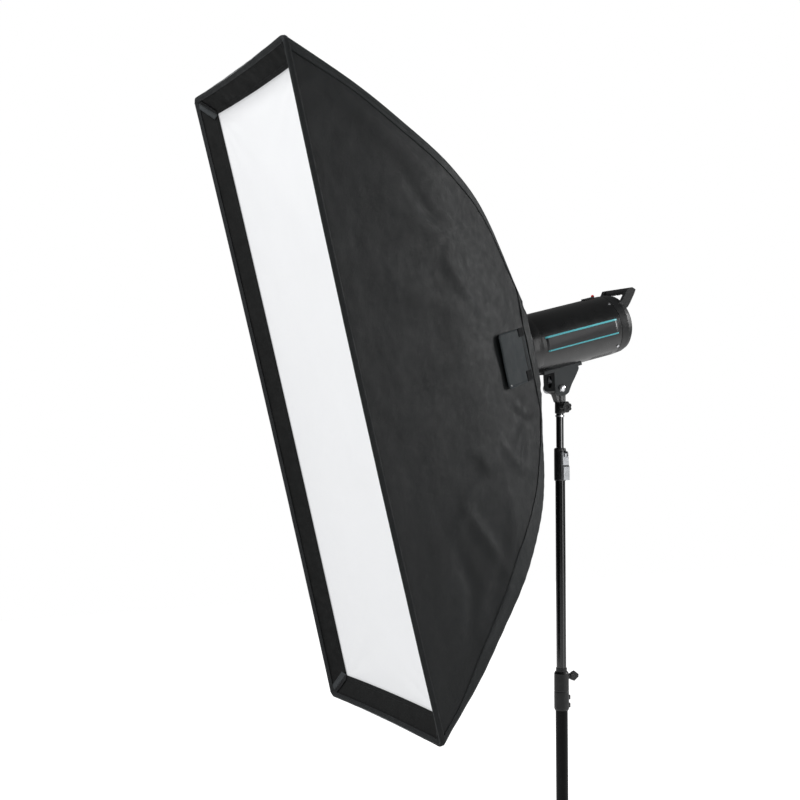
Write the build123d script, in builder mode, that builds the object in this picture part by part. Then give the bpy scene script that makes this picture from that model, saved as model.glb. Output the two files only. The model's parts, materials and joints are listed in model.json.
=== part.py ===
from build123d import *
from math import sin, cos, radians
import os

os.makedirs("parts", exist_ok=True)

# ------------------------------------------------------------------
# Strip softbox on a monobloc flash head and a folding light stand.
# Frame: +Z up, origin on the floor at the stand's column axis, the
# softbox faces -Y, +X is its right side seen from the front.
# Millimetres and degrees. Each piece is written as parts/NAME.step.
# ------------------------------------------------------------------

CUT = Mode.SUBTRACT

# light stand: three telescoping tubes, outer radius and bore
COLUMN_R, COLUMN_IN = 13.0, 10.55
MIDDLE_R, MIDDLE_IN = 10.5, 8.05
TOP_R, TOP_IN = 8.0, 6.2
FIT = 0.05  # radial clearance of parts that sit on a tube
COLUMN_FIT, MIDDLE_FIT, TOP_FIT = COLUMN_R + FIT, MIDDLE_R + FIT, TOP_R + FIT
COLUMN_Z = (6.0, 806.0)  # bottom and top
MIDDLE_Z = (480.0, 1340.0)
TOP_Z = (830.0, 1452.0)

# legs and braces
HUB_Z, CROWN_Z = 80.0, 427.0
HINGE_R = 30.0  # column axis to the hinge pins
STRUT = 270.0  # crown pivot to strut pivot, and strut pivot to hub pivot
LEG_LEAN = radians(50.0)  # from the vertical, stand open
LEG_R, LEG_IN, LEG_L = 10.0, 8.5, 648.0
LEG_AZIMUTHS = {"front": -90.0, "left": 150.0, "right": 30.0}

# height locks: bottom and top of each collar
LOWER_LOCK = (791.0, 873.0)
UPPER_LOCK = (1282.0, 1352.0)

# tilting bracket
PIVOT_Y, PIVOT_Z = -9.0, 1480.0
TILT = radians(13.6)  # nose down from the horizontal
AXIS_H = 105.0  # optical axis above the pivot
SOCKET_R, SOCKET_BORE = 10.5, 8.06
CROSS_HUB_L = 37.4  # between the side plates
PLATE_IN, PLATE_T = 19.0, 3.0

# flash head; stations run back from the softbox's front plane
PIVOT_STATION = 562.0
PIVOT = (0, PIVOT_STATION, -AXIS_H)
BARREL_R, BARREL_IN = 65.0, 62.5
BARREL_SEAT = BARREL_R + 0.06  # clears the barrel in the parts laid on it
BARREL_FRONT, BARREL_REAR = 483.0, 715.6
CAP_REAR = 752.0

# softbox skin: station, half width, half height
SECTIONS = [
    (0.0, 250.0, 650.0),
    (115.0, 230.0, 564.0),
    (205.0, 211.5, 486.0),
    (275.0, 193.5, 423.0),
    (330.0, 169.0, 368.5),
    (375.0, 144.0, 316.0),
    (410.0, 122.0, 253.5),
    (437.0, 103.8, 181.0),
    (458.0, 90.1, 126.0),
    (475.0, 80.0, 82.0),
]
SKIN = 2.0
ROD_R = 3.0
RING_R, RING_IN = 76.0, 62.05

HEAD = Plane(
    origin=(0, PIVOT_Y, PIVOT_Z),
    x_dir=(1, 0, 0),
    z_dir=(0, -sin(TILT), cos(TILT)),
)


# ------------------------------------------------------------------
# planes
# ------------------------------------------------------------------
def world_rear(x, y, z):
    """Plane facing +Y; sketch x is X, sketch y is -Z."""
    return Plane(origin=(x, y, z), x_dir=(1, 0, 0), z_dir=(0, 1, 0))


def world_right(x, y, z):
    """Plane facing +X; sketch x is Y, sketch y is Z."""
    return Plane(origin=(x, y, z), x_dir=(0, 1, 0), z_dir=(1, 0, 0))


def hinge_side(azimuth, radius, z):
    """Plane along a leg's hinge pin; sketch x is radial, sketch y is up."""
    turn = radians(azimuth)
    return Plane(
        origin=(radius * cos(turn), radius * sin(turn), z),
        x_dir=(cos(turn), sin(turn), 0),
        z_dir=(sin(turn), -cos(turn), 0),
    )


def at(across, station, height, z_dir=(0, 0, 1), x_dir=(1, 0, 0)):
    """Plane in the head's own axes; height is above the optical axis."""
    origin = (across, station - PIVOT_STATION, height + AXIS_H)
    local = Plane(origin=origin, x_dir=x_dir, z_dir=z_dir)
    return Plane(HEAD.location * local.location)


def head_rear(across, station, height):
    """Head plane facing the rear; sketch x is across, sketch y is down."""
    return at(across, station, height, z_dir=(0, 1, 0))


def head_right(across, station, height):
    """Head plane facing right; sketch x is rearward, sketch y is up."""
    return at(across, station, height, z_dir=(1, 0, 0), x_dir=(0, 1, 0))


def head_left(across, station, height):
    """Head plane facing left; sketch x is rearward, sketch y is down."""
    return at(across, station, height, z_dir=(-1, 0, 0), x_dir=(0, 1, 0))


def head_polar(angle, radius, station):
    """Head plane facing the rear, off the optical axis; sketch x is tangential."""
    a = radians(angle)
    return at(
        radius * cos(a), station, radius * sin(a), z_dir=(0, 1, 0), x_dir=(-sin(a), 0, cos(a))
    )


def head_radial(angle, radius, station):
    """Head plane facing away from the optical axis; sketch x is rearward."""
    a = radians(angle)
    return at(
        radius * cos(a), station, radius * sin(a), z_dir=(cos(a), 0, sin(a)), x_dir=(0, 1, 0)
    )


UPRIGHT = Plane(origin=(0, 0, 0), x_dir=(0, 0, 1), z_dir=(0, 1, 0))  # sketch: height, radius
AXIAL = head_right(0, 0, 0)  # sketch: station, radius


# ------------------------------------------------------------------
# shapes, each added to or cut from the BuildPart in progress
# ------------------------------------------------------------------
def turned(plane, points, mode=Mode.ADD):
    """A turned profile about the plane's x axis."""
    with BuildSketch(plane) as outline:
        with BuildLine():
            Polyline(*points, close=True)
        make_face()
    revolve(outline.sketch, axis=Axis(plane.origin, plane.x_dir), mode=mode)


def prism(plane, points, length):
    """A polygon extruded along the plane's normal."""
    with BuildSketch(plane) as outline:
        with BuildLine():
            Polyline(*points, close=True)
        make_face()
    extrude(outline.sketch, amount=length)


def drum(plane, radius, length, mode=Mode.ADD):
    """A plain cylinder from a plane along its normal."""
    with BuildSketch(plane) as outline:
        Circle(radius)
    extrude(outline.sketch, amount=length, mode=mode)


def sleeve(plane, radius, bore, length, mode=Mode.ADD):
    """A bored cylinder from a plane along its normal."""
    with BuildSketch(plane) as outline:
        Circle(radius)
        Circle(bore, mode=CUT)
    extrude(outline.sketch, amount=length, mode=mode)


def block(plane, width, height, length, mode=Mode.ADD, corner=0.0):
    """A block from a plane along its normal, with optional round corners."""
    with BuildSketch(plane) as outline:
        if corner:
            RectangleRounded(width, height, corner)
        else:
            Rectangle(width, height)
    extrude(outline.sketch, amount=length, mode=mode)


def lug(plane, web_at, web_size, eye_at, eye_r, length):
    """A rectangular web with a round eye at its end."""
    with BuildSketch(plane) as outline:
        with Locations(web_at):
            Rectangle(*web_size)
        with Locations(eye_at):
            Circle(eye_r)
    extrude(outline.sketch, amount=length)


def lobed(plane, radius, lobes, depth, length):
    """A lobed hand knob from a plane along its normal."""
    with BuildSketch(plane) as outline:
        Circle(radius)
        with PolarLocations(radius + depth * 0.9, lobes):
            Circle(depth * 1.6, mode=CUT)
    extrude(outline.sketch, amount=length)


def frustum(start, end, mode):
    """A straight-sided loft between two (station, half width, half height) rows."""
    ends = []
    for station, half_width, half_height in (start, end):
        with BuildSketch(head_rear(0, station, 0)) as outline:
            Rectangle(2 * half_width, 2 * half_height)
        ends.append(outline.sketch)
    loft(ends, ruled=True, mode=mode)


def save(piece, name):
    piece.part.label = name
    export_step(piece.part, f"parts/{name}.step")


# ------------------------------------------------------------------
# light stand: column, hub and crown
# ------------------------------------------------------------------
BRACE_HOLE_R = 2.56
CROWN_SCREW_Z = 434.0


def hinge_pins(z, radius, length, head_r, head_t):
    """Three headed pins; each head stands 0.1 past the end of its shank."""
    with BuildPart() as pins:
        for azimuth in LEG_AZIMUTHS.values():
            pin = hinge_side(azimuth, HINGE_R, z)
            end = length / 2 + 0.1
            drum(pin.offset(-length / 2), radius, length)
            drum(pin.offset(-end), head_r, head_t)
            drum(pin.offset(end - head_t), head_r, head_t)
    return pins


with BuildPart() as base_column:
    bottom, top = COLUMN_Z
    drum(Plane.XY.offset(bottom), COLUMN_R, top - bottom)
    drum(Plane.XY.offset(bottom), COLUMN_IN, top - bottom, mode=CUT)
save(base_column, "base_column")

with BuildPart() as column_cap:
    bottom = COLUMN_Z[0] - 0.1
    turned(
        UPRIGHT,
        [
            (0, 0), (0, 12), (2, 15), (bottom, 16), (28, 15), (28, COLUMN_FIT),
            (bottom, COLUMN_FIT), (bottom, 10.4), (24, 10.4), (24, 0),
        ],
    )
save(column_cap, "column_cap")

with BuildPart() as brace_hub:
    turned(
        UPRIGHT,
        [(62, COLUMN_FIT), (62, 20), (64, 22), (96, 22), (98, 20), (98, COLUMN_FIT)],
    )
    for azimuth in LEG_AZIMUTHS.values():
        side = hinge_side(azimuth, 0, HUB_Z)
        lug(side.offset(-10.3), (24, 0), (13, 16), (HINGE_R, 0), 8, 20.6)
        drum(hinge_side(azimuth, HINGE_R, HUB_Z).offset(-12), BRACE_HOLE_R, 24, mode=CUT)
save(brace_hub, "brace_hub")

save(hinge_pins(HUB_Z, radius=2.5, length=29.2, head_r=4.6, head_t=1.9), "hub_pins")

with BuildPart() as leg_crown:
    turned(
        UPRIGHT,
        [
            (415, COLUMN_FIT), (415, 19), (418, 21.8), (446, 21.8), (452, 18), (452, COLUMN_FIT),
        ],
    )
    # a fork of two ears for each leg
    for azimuth in LEG_AZIMUTHS.values():
        side = hinge_side(azimuth, 0, CROWN_Z)
        for start in (6.2, -11.4):
            lug(side.offset(start), (24, 2), (14, 20), (HINGE_R, 0), 9, 5.2)
        drum(hinge_side(azimuth, HINGE_R, CROWN_Z).offset(-13), 3.0, 26, mode=CUT)
    # boss for the clamp screw, at the back between two legs
    drum(world_rear(0, 20, CROWN_SCREW_Z), 9, 13)
    drum(world_rear(0, 12, CROWN_SCREW_Z), 4.05, 30, mode=CUT)
    drum(Plane.XY.offset(410), COLUMN_FIT, 50, mode=CUT)
save(leg_crown, "leg_crown")

save(hinge_pins(CROWN_Z, radius=2.98, length=26.4, head_r=5.2, head_t=1.8), "crown_pins")

with BuildPart() as crown_knob:
    drum(world_rear(0, 13.6, CROWN_SCREW_Z), 4.0, 24)
    lobed(world_rear(0, 33.6, CROWN_SCREW_Z), radius=16, lobes=6, depth=3.2, length=14)
    fillet(crown_knob.faces().sort_by(Axis.Y)[-1].edges(), 2.0)
save(crown_knob, "crown_knob")

# ------------------------------------------------------------------
# light stand: legs, feet and braces
# ------------------------------------------------------------------
EYE_T = 12.0  # flattened eye at the top of a leg
FOOT_START = 600.0  # distances down the leg from its pivot
FOOT_GROOVES = (612, 620, 628)
SOLE_R = 538.0  # column axis to the middle of the sole cut
STRIP_T = 2.0

for name, azimuth in LEG_AZIMUTHS.items():
    turn = radians(azimuth)
    out_x, out_y = cos(turn), sin(turn)
    down = Vector(sin(LEG_LEAN) * out_x, sin(LEG_LEAN) * out_y, -cos(LEG_LEAN))
    up = Vector(sin(LEG_LEAN) * out_x, sin(LEG_LEAN) * out_y, cos(LEG_LEAN))
    across = Vector(out_y, -out_x, 0)
    pivot = Plane(
        origin=(HINGE_R * out_x, HINGE_R * out_y, CROWN_Z), x_dir=across, z_dir=down
    )

    with BuildPart() as leg:
        drum(pivot.offset(18), LEG_R, LEG_L - 18)
        drum(pivot.offset(40), LEG_IN, LEG_L - 40, mode=CUT)
        # flattened eye between the crown's ears
        block(pivot, EYE_T, 14, 20)
        for half, radius, mode in ((EYE_T / 2, 7.0, Mode.ADD), (EYE_T / 2 + 1, 3.03, CUT)):
            eye = Plane(origin=pivot.origin - across * half, x_dir=down, z_dir=across)
            drum(eye, radius, 2 * half, mode=mode)
    save(leg, f"leg_{name}")

    with BuildPart() as foot:
        drum(pivot.offset(FOOT_START), 13.0, 90)
        socket_start = FOOT_START - 1
        drum(pivot.offset(socket_start), LEG_R + FIT, LEG_L + 0.1 - socket_start, mode=CUT)
        for groove_start in FOOT_GROOVES:
            sleeve(pivot.offset(groove_start), 14, 12.2, 3, mode=CUT)
        # flat sole on the floor
        floor = Plane(origin=(SOLE_R * out_x, SOLE_R * out_y, 0), x_dir=(1, 0, 0), z_dir=(0, 0, -1))
        block(floor, 160, 160, 80, mode=CUT)
    save(foot, f"foot_{name}")

    hub_pivot = Vector(HINGE_R * out_x, HINGE_R * out_y, HUB_Z)
    with BuildPart() as brace:
        for start in (10.6, -10.6 - STRIP_T):
            middle = hub_pivot + up * (STRUT / 2) + across * start
            with BuildSketch(Plane(origin=middle, x_dir=up, z_dir=across)) as strip:
                SlotCenterToCenter(STRUT, 14)
                with Locations((-STRUT / 2, 0)):
                    Circle(BRACE_HOLE_R, mode=CUT)
            extrude(strip.sketch, amount=STRIP_T)
        # rivet heads on the outside of both strips, at the leg
        for outward in (across, across * -1):
            rivet_at = hub_pivot + up * STRUT + outward * 12.4
            drum(Plane(origin=rivet_at, x_dir=up, z_dir=outward), 4.6, 2.0)
    save(brace, f"brace_{name}")

# ------------------------------------------------------------------
# light stand: upper tubes and their locks
# ------------------------------------------------------------------
WING_SCREW_Z = 861.0
LEVER_PIN = (17.0, 1340.0)  # y, z, before the lock is turned to the right
LEVER_CHEEK = [  # y, z
    (14.2, 1342.6), (16, 1344.8), (18.5, 1344.8), (20.6, 1342.8), (21.2, 1340), (22.5, 1316),
    (25, 1312), (25, 1284), (16, 1284), (14.6, 1300), (14.2, 1332),
]
LEVER_WEB = [  # y, z
    (21.6, 1334), (22.5, 1316), (25, 1312), (25, 1284),
    (22.6, 1284), (22.6, 1311), (20.4, 1315), (19.6, 1334),
]

with BuildPart() as lower_lock_collar:
    bottom, top = LOWER_LOCK
    step = COLUMN_Z[1] + 0.1
    turned(
        UPRIGHT,
        [
            (bottom, COLUMN_FIT), (bottom, 14.6), (bottom + 4, 15.9), (bottom + 39, 15.9),
            (bottom + 40, 15.5), (bottom + 41, 15.5), (bottom + 42, 15.8), (top - 4, 15.6),
            (top, 13.6), (top, 11.8), (top + 8, 11.8), (top + 8, MIDDLE_FIT),
            (step, MIDDLE_FIT), (step, COLUMN_FIT),
        ],
    )
    for z in (800.0, 817.0):
        block(world_rear(0, 14.5, z), 12, 10, 4.2, corner=2)
    # boss for the wing screw
    drum(world_rear(0, 14, WING_SCREW_Z), 5.6, 4.5)
    drum(world_rear(0, 10, WING_SCREW_Z), 3.05, 12, mode=CUT)
save(lower_lock_collar, "lower_lock_collar")

with BuildPart() as lower_lock_screw:
    drum(world_rear(0, 11.0, WING_SCREW_Z), 3.0, 12)
    turned(
        world_right(0, 0, WING_SCREW_Z),
        [(19.2, 0), (19.2, 5.5), (22, 6.5), (28, 6.0), (31, 4.0), (31, 0)],
    )
    prism(
        world_right(-1.6, 0, WING_SCREW_Z),
        [(22, 0), (24, 8), (32, 11), (43, 3), (43, -3), (32, -11), (24, -8)],
        3.2,
    )
save(lower_lock_screw, "lower_lock_screw")

with BuildPart() as middle_tube:
    bottom, top = MIDDLE_Z
    drum(Plane.XY.offset(bottom), MIDDLE_R, top - bottom)
    drum(Plane.XY.offset(bottom), MIDDLE_IN, top - bottom, mode=CUT)
save(middle_tube, "middle_tube")

with BuildPart() as upper_lock_collar:
    bottom, top = UPPER_LOCK
    step = MIDDLE_Z[1] + 0.1
    turned(
        UPRIGHT,
        [
            (bottom, MIDDLE_FIT), (bottom, 12.2), (bottom + 3, 12.8), (top - 3, 12.8),
            (top, 11.4), (top, TOP_FIT), (step, TOP_FIT), (step, MIDDLE_FIT),
        ],
    )
    # two ears that carry the lever's pin, and the split between them
    for x in (-5.3, 2.6):
        lug(world_right(x, 0, 0), (14, LEVER_PIN[1]), (8, 12), LEVER_PIN, 4.2, 2.7)
    split = Plane(origin=(0, 9, top + 0.2), x_dir=(1, 0, 0), z_dir=(0, 0, -1))
    block(split, 1.2, 10, 12, mode=CUT)
    drum(world_right(-9, *LEVER_PIN), 1.55, 18, mode=CUT)
    # rivet seat beside the lever
    rivet = Plane(origin=(9.2, 7.7, 1300), x_dir=(0, 0, 1), z_dir=(0.767, 0.642, 0))
    drum(rivet, 3.4, 1.4)
    drum(rivet, 1.2, 3, mode=CUT)
    # clear both bores again
    drum(Plane.XY.offset(MIDDLE_Z[1] + 1), TOP_FIT, 20, mode=CUT)
    drum(Plane.XY.offset(bottom - 1), MIDDLE_FIT, step + 1 - bottom, mode=CUT)
upper_lock_collar.part = upper_lock_collar.part.rotate(Axis.Z, -90)  # lever side to the right
save(upper_lock_collar, "upper_lock_collar")

with BuildPart() as upper_lock_lever:
    # channel-shaped flip lever round the ears, closed against the collar
    for x in (-7.4, 5.6):
        prism(world_right(x, 0, 0), LEVER_CHEEK, 1.8)
    prism(world_right(-6.2, 0, 0), LEVER_WEB, 12.4)
    # cam between the ears, with the pin that carries it
    block(world_right(-2.4, *LEVER_PIN), 6.2, 6.2, 4.8, corner=2.4)
    block(world_right(-2.4, 20.2, 1336), 3.6, 10, 4.8)
    drum(world_right(-8.1, *LEVER_PIN), 1.5, 16.2)
upper_lock_lever.part = upper_lock_lever.part.rotate(Axis.Z, -90)
save(upper_lock_lever, "upper_lock_lever")

with BuildPart() as top_tube:
    bottom, top = TOP_Z
    drum(Plane.XY.offset(bottom), TOP_R, top - bottom)
    drum(Plane.XY.offset(bottom), TOP_IN, top - 12 - bottom, mode=CUT)  # closed top
    chamfer(top_tube.faces().sort_by(Axis.Z)[-1].edges(), 1.2)
    # stop ring under the socket
    sleeve(Plane.XY.offset(1419), 9.6, TOP_R - 0.5, 4.0)
save(top_tube, "top_tube")

# ------------------------------------------------------------------
# swivel and tilting bracket
# ------------------------------------------------------------------
SOCKET_KNOB_Z = 1440.0
SHAFT_H = -80.0  # umbrella shaft and its clamp screw, below the optical axis
SHAFT_SCREW_STATION = 588.0

# side plates: station, height; both share the rear edge
PLATE_REAR = [
    (577.5, -117.8), (589.5, -101.7), (600.2, -90.8), (611.6, -78), (615, -73), (615, -66),
]
RIGHT_PLATE = [
    (552, -66), (543.3, -112.5), (546.5, -116.5), (555, -120.5), (564, -121.5), (570, -121),
    *PLATE_REAR,
]
LEFT_PLATE = [
    (552, -66), (545, -103.5), (550, -109.5), (556, -114.5), (562, -119.8), (570, -121),
    *PLATE_REAR,
]
LEVER_ARM = [  # rearward and down from the pivot
    (-3, -9), (20, -10), (50, -15), (56, -9), (52, -1), (24, 6), (4, 9),
]

with BuildPart() as swivel_socket:
    turned(
        UPRIGHT,
        [
            (1426, 0), (1426, 9.8), (1427, SOCKET_R), (1464, SOCKET_R), (1466, 9), (1466, 0),
        ],
    )
    # neck up to the cross hub that fills the bracket
    prism(
        world_right(-8.2, 0, 0),
        [(-9.5, 1450), (10, 1450), (10, 1466), (3, 1480), (-20, 1480), (-17, 1468)],
        16.4,
    )
    drum(world_right(-CROSS_HUB_L / 2, PIVOT_Y, PIVOT_Z), 12.5, CROSS_HUB_L)
    drum(Plane.XY.offset(1425), SOCKET_BORE, 29, mode=CUT)
    drum(world_right(-20, PIVOT_Y, PIVOT_Z), 4.05, 40, mode=CUT)
    # boss for the clamp knob on the right
    drum(world_right(9.0, 0, SOCKET_KNOB_Z), 6, 5)
    drum(world_right(8.2, 0, SOCKET_KNOB_Z), 3.05, 10, mode=CUT)
save(swivel_socket, "swivel_socket")

with BuildPart() as socket_knob:
    drum(world_right(8.6, 0, SOCKET_KNOB_Z), 3.0, 12)
    lobed(world_right(16, 0, SOCKET_KNOB_Z), radius=12, lobes=7, depth=2.4, length=13)
    fillet(socket_knob.faces().sort_by(Axis.X)[-1].edges(), 1.6)
    # recess with a button in it
    drum(world_right(27, 0, SOCKET_KNOB_Z), 4.0, 4, mode=CUT)
    drum(world_right(26, 0, SOCKET_KNOB_Z), 2.6, 2.2)
save(socket_knob, "socket_knob")

with BuildPart() as tilt_bracket:
    # side plates down to the pivot
    for start, outline in ((PLATE_IN, RIGHT_PLATE), (-PLATE_IN - PLATE_T, LEFT_PLATE)):
        prism(head_right(start, 0, 0), outline, PLATE_T)
    # front web with a tall opening
    prism(
        head_right(-PLATE_IN - 0.5, 0, 0),
        [(552, -66), (555.2, -66), (547.4, -107), (544.4, -107)],
        2 * PLATE_IN + 1,
    )
    with BuildSketch(head_rear(1.5, 538, -87)) as opening:
        SlotCenterToCenter(9, 17.6, rotation=90)
    extrude(opening.sketch, amount=22, mode=CUT)
    # saddle rail under the barrel
    block(at(0, 576, -68), 44, 98, 10)
    # umbrella shaft's tube, hung from the saddle
    drum(head_rear(0, 556, SHAFT_H), 7.0, 48)
    block(at(0, 580, -75), 6, 44, 8)
    drum(head_rear(0, 540, SHAFT_H), 4.2, 80, mode=CUT)
    # clamp screw's hole, from the left
    drum(head_right(-24, SHAFT_SCREW_STATION, SHAFT_H), 2.55, 21, mode=CUT)
    # pivot bolt's hole
    drum(head_right(*PIVOT).offset(-24), 4.02, 48, mode=CUT)
    drum(head_rear(0, 515, 0), BARREL_SEAT, 150, mode=CUT)
save(tilt_bracket, "tilt_bracket")

with BuildPart() as pivot_bolt:
    drum(head_right(*PIVOT).offset(-38), 4.0, 61)
    # head on the right, profile as across and radius
    turned(
        at(*PIVOT),
        [(22.1, 0), (22.1, 8.4), (24.0, 8.4), (26.2, 6.6), (27.4, 3.4), (27.4, 0)],
    )
    # dome nut on the left
    turned(at(*PIVOT), [(-41.5, 0), (-40.5, 4), (-38.5, 6.4), (-35.2, 6.6), (-35.2, 0)])
save(pivot_bolt, "pivot_bolt")

with BuildPart() as tilt_lever:
    side = head_left(*PIVOT)
    drum(side.offset(22.4), 11, 12.4)
    prism(side.offset(26), LEVER_ARM, 7)
    drum(side.offset(21), 4.05, 16, mode=CUT)
save(tilt_lever, "tilt_lever")

with BuildPart() as umbrella_screw:
    drum(head_left(-4.6, SHAFT_SCREW_STATION, SHAFT_H), 2.5, 24)
    knob = head_left(-25, SHAFT_SCREW_STATION, SHAFT_H)
    lobed(knob, radius=9, lobes=6, depth=1.9, length=10)
save(umbrella_screw, "umbrella_screw")

# ------------------------------------------------------------------
# flash head: barrel and mount
# ------------------------------------------------------------------
CASE_SCREW_ANGLES = (45, 135, 225, 315)
CASE_SCREW_STATION = 709.0
TAB_ANGLES = (30, 150, 270)  # bayonet tabs; the notches lie midway between
LATCH_STATION = 524.0
TUBE_LEG_X = 38.0  # flash tube's legs, across from the optical axis

with BuildPart() as barrel_shell:
    turned(
        AXIAL,
        [
            (BARREL_FRONT, BARREL_IN), (BARREL_FRONT, 63.4), (485, 64.4), (489, 65.3),
            (495, 65.8), (501, 65.9), (507, 65.6), (511, 65.1), (512, BARREL_R),
            (BARREL_REAR, BARREL_R), (BARREL_REAR, BARREL_IN),
        ],
    )
    # cooling slots underneath, towards the rear
    for i in range(9):
        slot = at(0, 652 + i * 6.2, -40, z_dir=(0, 0, -1))
        block(slot, 62, 2.6, 40, mode=CUT)
    for angle in CASE_SCREW_ANGLES:
        drum(head_radial(angle, 50, CASE_SCREW_STATION), 1.6, 20, mode=CUT)
save(barrel_shell, "barrel_shell")

with BuildPart() as bayonet_mount:
    # fixed ring of the accessory mount, with three notches
    turned(
        AXIAL,
        [
            (483.2, 52.4), (483.2, 62.4), (493.6, 62.4),
            (493.6, 58.4), (489.2, 58.4), (489.2, 52.4),
        ],
    )
    for angle in TAB_ANGLES:
        block(head_polar(angle + 60, 55, 482), 22, 7.4, 8, mode=CUT)
save(bayonet_mount, "bayonet_mount")

with BuildPart() as bayonet_latch:
    # release slider on the left of the barrel, with three grip grooves
    block(head_left(-65.2, LATCH_STATION, 0), 16, 14, 5, corner=3)
    for k in (-1, 0, 1):
        block(head_right(-70.4, LATCH_STATION + 4 * k, 0), 1.2, 12, 1.0, mode=CUT)
    drum(head_rear(0, 510, 0), BARREL_R + 0.15, 40, mode=CUT)
save(bayonet_latch, "bayonet_latch")

with BuildPart() as lamp_plate:
    turned(AXIAL, [(493.8, 0), (493.8, 62.3), (496.8, 62.3), (496.8, 0)])
    # holes for the tube's legs, the modelling lamp and three small ones
    holes = [(head_rear(across, 495, 0), 6.2) for across in (-TUBE_LEG_X, TUBE_LEG_X)]
    holes.append((head_rear(0, 495, 0), 15.2))
    holes += [(head_polar(angle, 50, 495), 2.2) for angle in TAB_ANGLES]
    for plane, radius in holes:
        with Locations(plane):
            Cylinder(radius, 12, mode=CUT)
save(lamp_plate, "lamp_plate")

with BuildPart() as flash_tube:
    # ring-shaped tube on two legs
    with BuildSketch(at(33, 467, 0)) as ring_section:
        Circle(5)
    ring_centre = head_rear(0, 467, 0)
    revolve(ring_section.sketch, axis=Axis(ring_centre.origin, ring_centre.z_dir))
    for across in (-TUBE_LEG_X, TUBE_LEG_X):
        drum(head_rear(across, 467, 0), 4.2, 8)
        drum(head_rear(across, 475, 0), 6.1, 27)
save(flash_tube, "flash_tube")

with BuildPart() as modelling_lamp:
    turned(
        AXIAL,
        [
            (444, 0), (445, 6), (450, 11), (458, 13.2), (468, 12.2), (476, 9),
            (480, 9), (480, 14.8), (510, 14.8), (510, 0),
        ],
    )
save(modelling_lamp, "modelling_lamp")

# ------------------------------------------------------------------
# flash head: rear cap, handle and controls
# ------------------------------------------------------------------
HANDLE_STATION = 773.0
HANDLE_STRUT = [  # station, height
    (732, 32), (744, 27), (754, 30), (763, 38), (779, 55.5), (784.5, 63.5), (777, 70),
    (765.5, 70.6), (757, 61), (744, 47.5), (732, 43),
]
PANEL_STATION = 744.2
PANEL_CUT = 743.0  # station where the panel's openings start
OPENING_GAP = 0.2  # added to the width and height of a part that fills an opening
WINDOW_H, WINDOW_W, WINDOW_T = 22.0, 46.0, 20.0  # height on the panel, width, tallness
SWITCH_X, INLET_X, POWER_H = -20.0, 14.0, -26.0
INLET_W, INLET_T = 28.0, 20.0
BUTTONS = {"test_button": -34.0, "lamp_button": 34.0}  # across
BUTTON_R = 4.5
DIAL_H = -2.0

with BuildPart() as rear_cap:
    turned(
        AXIAL,
        [
            (710, 59.8), (710, 62.4), (717.0, 62.4), (717.0, 64.8), (736, 63.4), (746, 60),
            (CAP_REAR, 54), (CAP_REAR, 49.1), (744, 49.1), (744, 45), (741, 45),
            (734, 58.5), (717, 59.8),
        ],
    )
    # struts of the carrying handle
    for across in (-42.6, 42.6):
        prism(head_right(across - 5, 0, 0), HANDLE_STRUT, 10)
    # clear the inside of the cap again
    turned(
        AXIAL,
        [
            (700, 0), (700, 59.8), (716, 59.8), (734, 58.4), (741, 44.9),
            (741, 49.1), (760, 49.1), (760, 0),
        ],
        mode=CUT,
    )
    for angle in CASE_SCREW_ANGLES:
        drum(head_radial(angle, 50, 713.2), 0.9, 20, mode=CUT)
save(rear_cap, "rear_cap")

with BuildPart() as handle_grip:
    # grip bar with finger grooves underneath
    drum(head_right(-37.5, HANDLE_STATION, 63.4), 6.8, 75)
    for k in (-1.5, -0.5, 0.5, 1.5):
        drum(head_rear(18.0 * k, HANDLE_STATION - 12, 51.2), 8.0, 24, mode=CUT)
save(handle_grip, "handle_grip")

with BuildPart() as control_panel:
    drum(head_rear(0, PANEL_STATION, 0), 49.0, 3.0)
    # window, switch and inlet: across, height, width, tallness
    for across, height, width, tallness in (
        (0, WINDOW_H, WINDOW_W, WINDOW_T),
        (SWITCH_X, POWER_H, 14.0, 20.0),
        (INLET_X, POWER_H, INLET_W, INLET_T),
    ):
        opening = head_rear(across, PANEL_CUT, height)
        block(opening, width + OPENING_GAP, tallness + OPENING_GAP, 6, mode=CUT)
    # buttons, dial and a small round hole: across, height, radius
    for across, height, radius in (
        *((across, 0, BUTTON_R + 0.1) for across in BUTTONS.values()),
        (0, DIAL_H, 3.05),
        (36, -20, 3.2),
    ):
        drum(head_rear(across, PANEL_CUT, height), radius, 6, mode=CUT)
save(control_panel, "control_panel")

with BuildPart() as display_window:
    block(head_rear(0, PANEL_STATION, WINDOW_H), WINDOW_W, WINDOW_T, 3.4, corner=1.5)
save(display_window, "display_window")

for name, across in BUTTONS.items():
    with BuildPart() as button:
        drum(head_rear(across, 742, 0), BUTTON_R, 8.6)
        fillet(button.faces().filter_by(GeomType.PLANE).sort_by(Axis.Y)[-1].edges(), 1.0)
        drum(head_rear(across, 742, 0), 5.8, 2.0)  # flange behind the panel
    save(button, name)

with BuildPart() as control_dial:
    drum(head_rear(0, 740, DIAL_H), 3.0, 10)
    lobed(head_rear(0, 747.6, DIAL_H), radius=11, lobes=18, depth=0.8, length=12)
save(control_dial, "control_dial")

with BuildPart() as power_switch:
    # rocker, profile as station and height from its centre
    prism(
        head_right(SWITCH_X - 6.9, 0, POWER_H),
        [(741, -8.0), (748.4, -8.5), (747.4, 0), (750.2, 8.5), (741, 8.0), (739.5, 0)],
        13.8,
    )
save(power_switch, "power_switch")

with BuildPart() as power_inlet:
    block(head_rear(INLET_X, 736, POWER_H), INLET_W, INLET_T, 12.6, corner=3)
    block(head_rear(INLET_X, 740, POWER_H), 23, 15, 10, mode=CUT, corner=2)
    # three contact blades
    for across, height in ((-7, -1), (0, 2), (7, -1)):
        block(head_rear(INLET_X + across, 739, POWER_H + height), 2, 4.5, 7)
save(power_inlet, "power_inlet")

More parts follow.
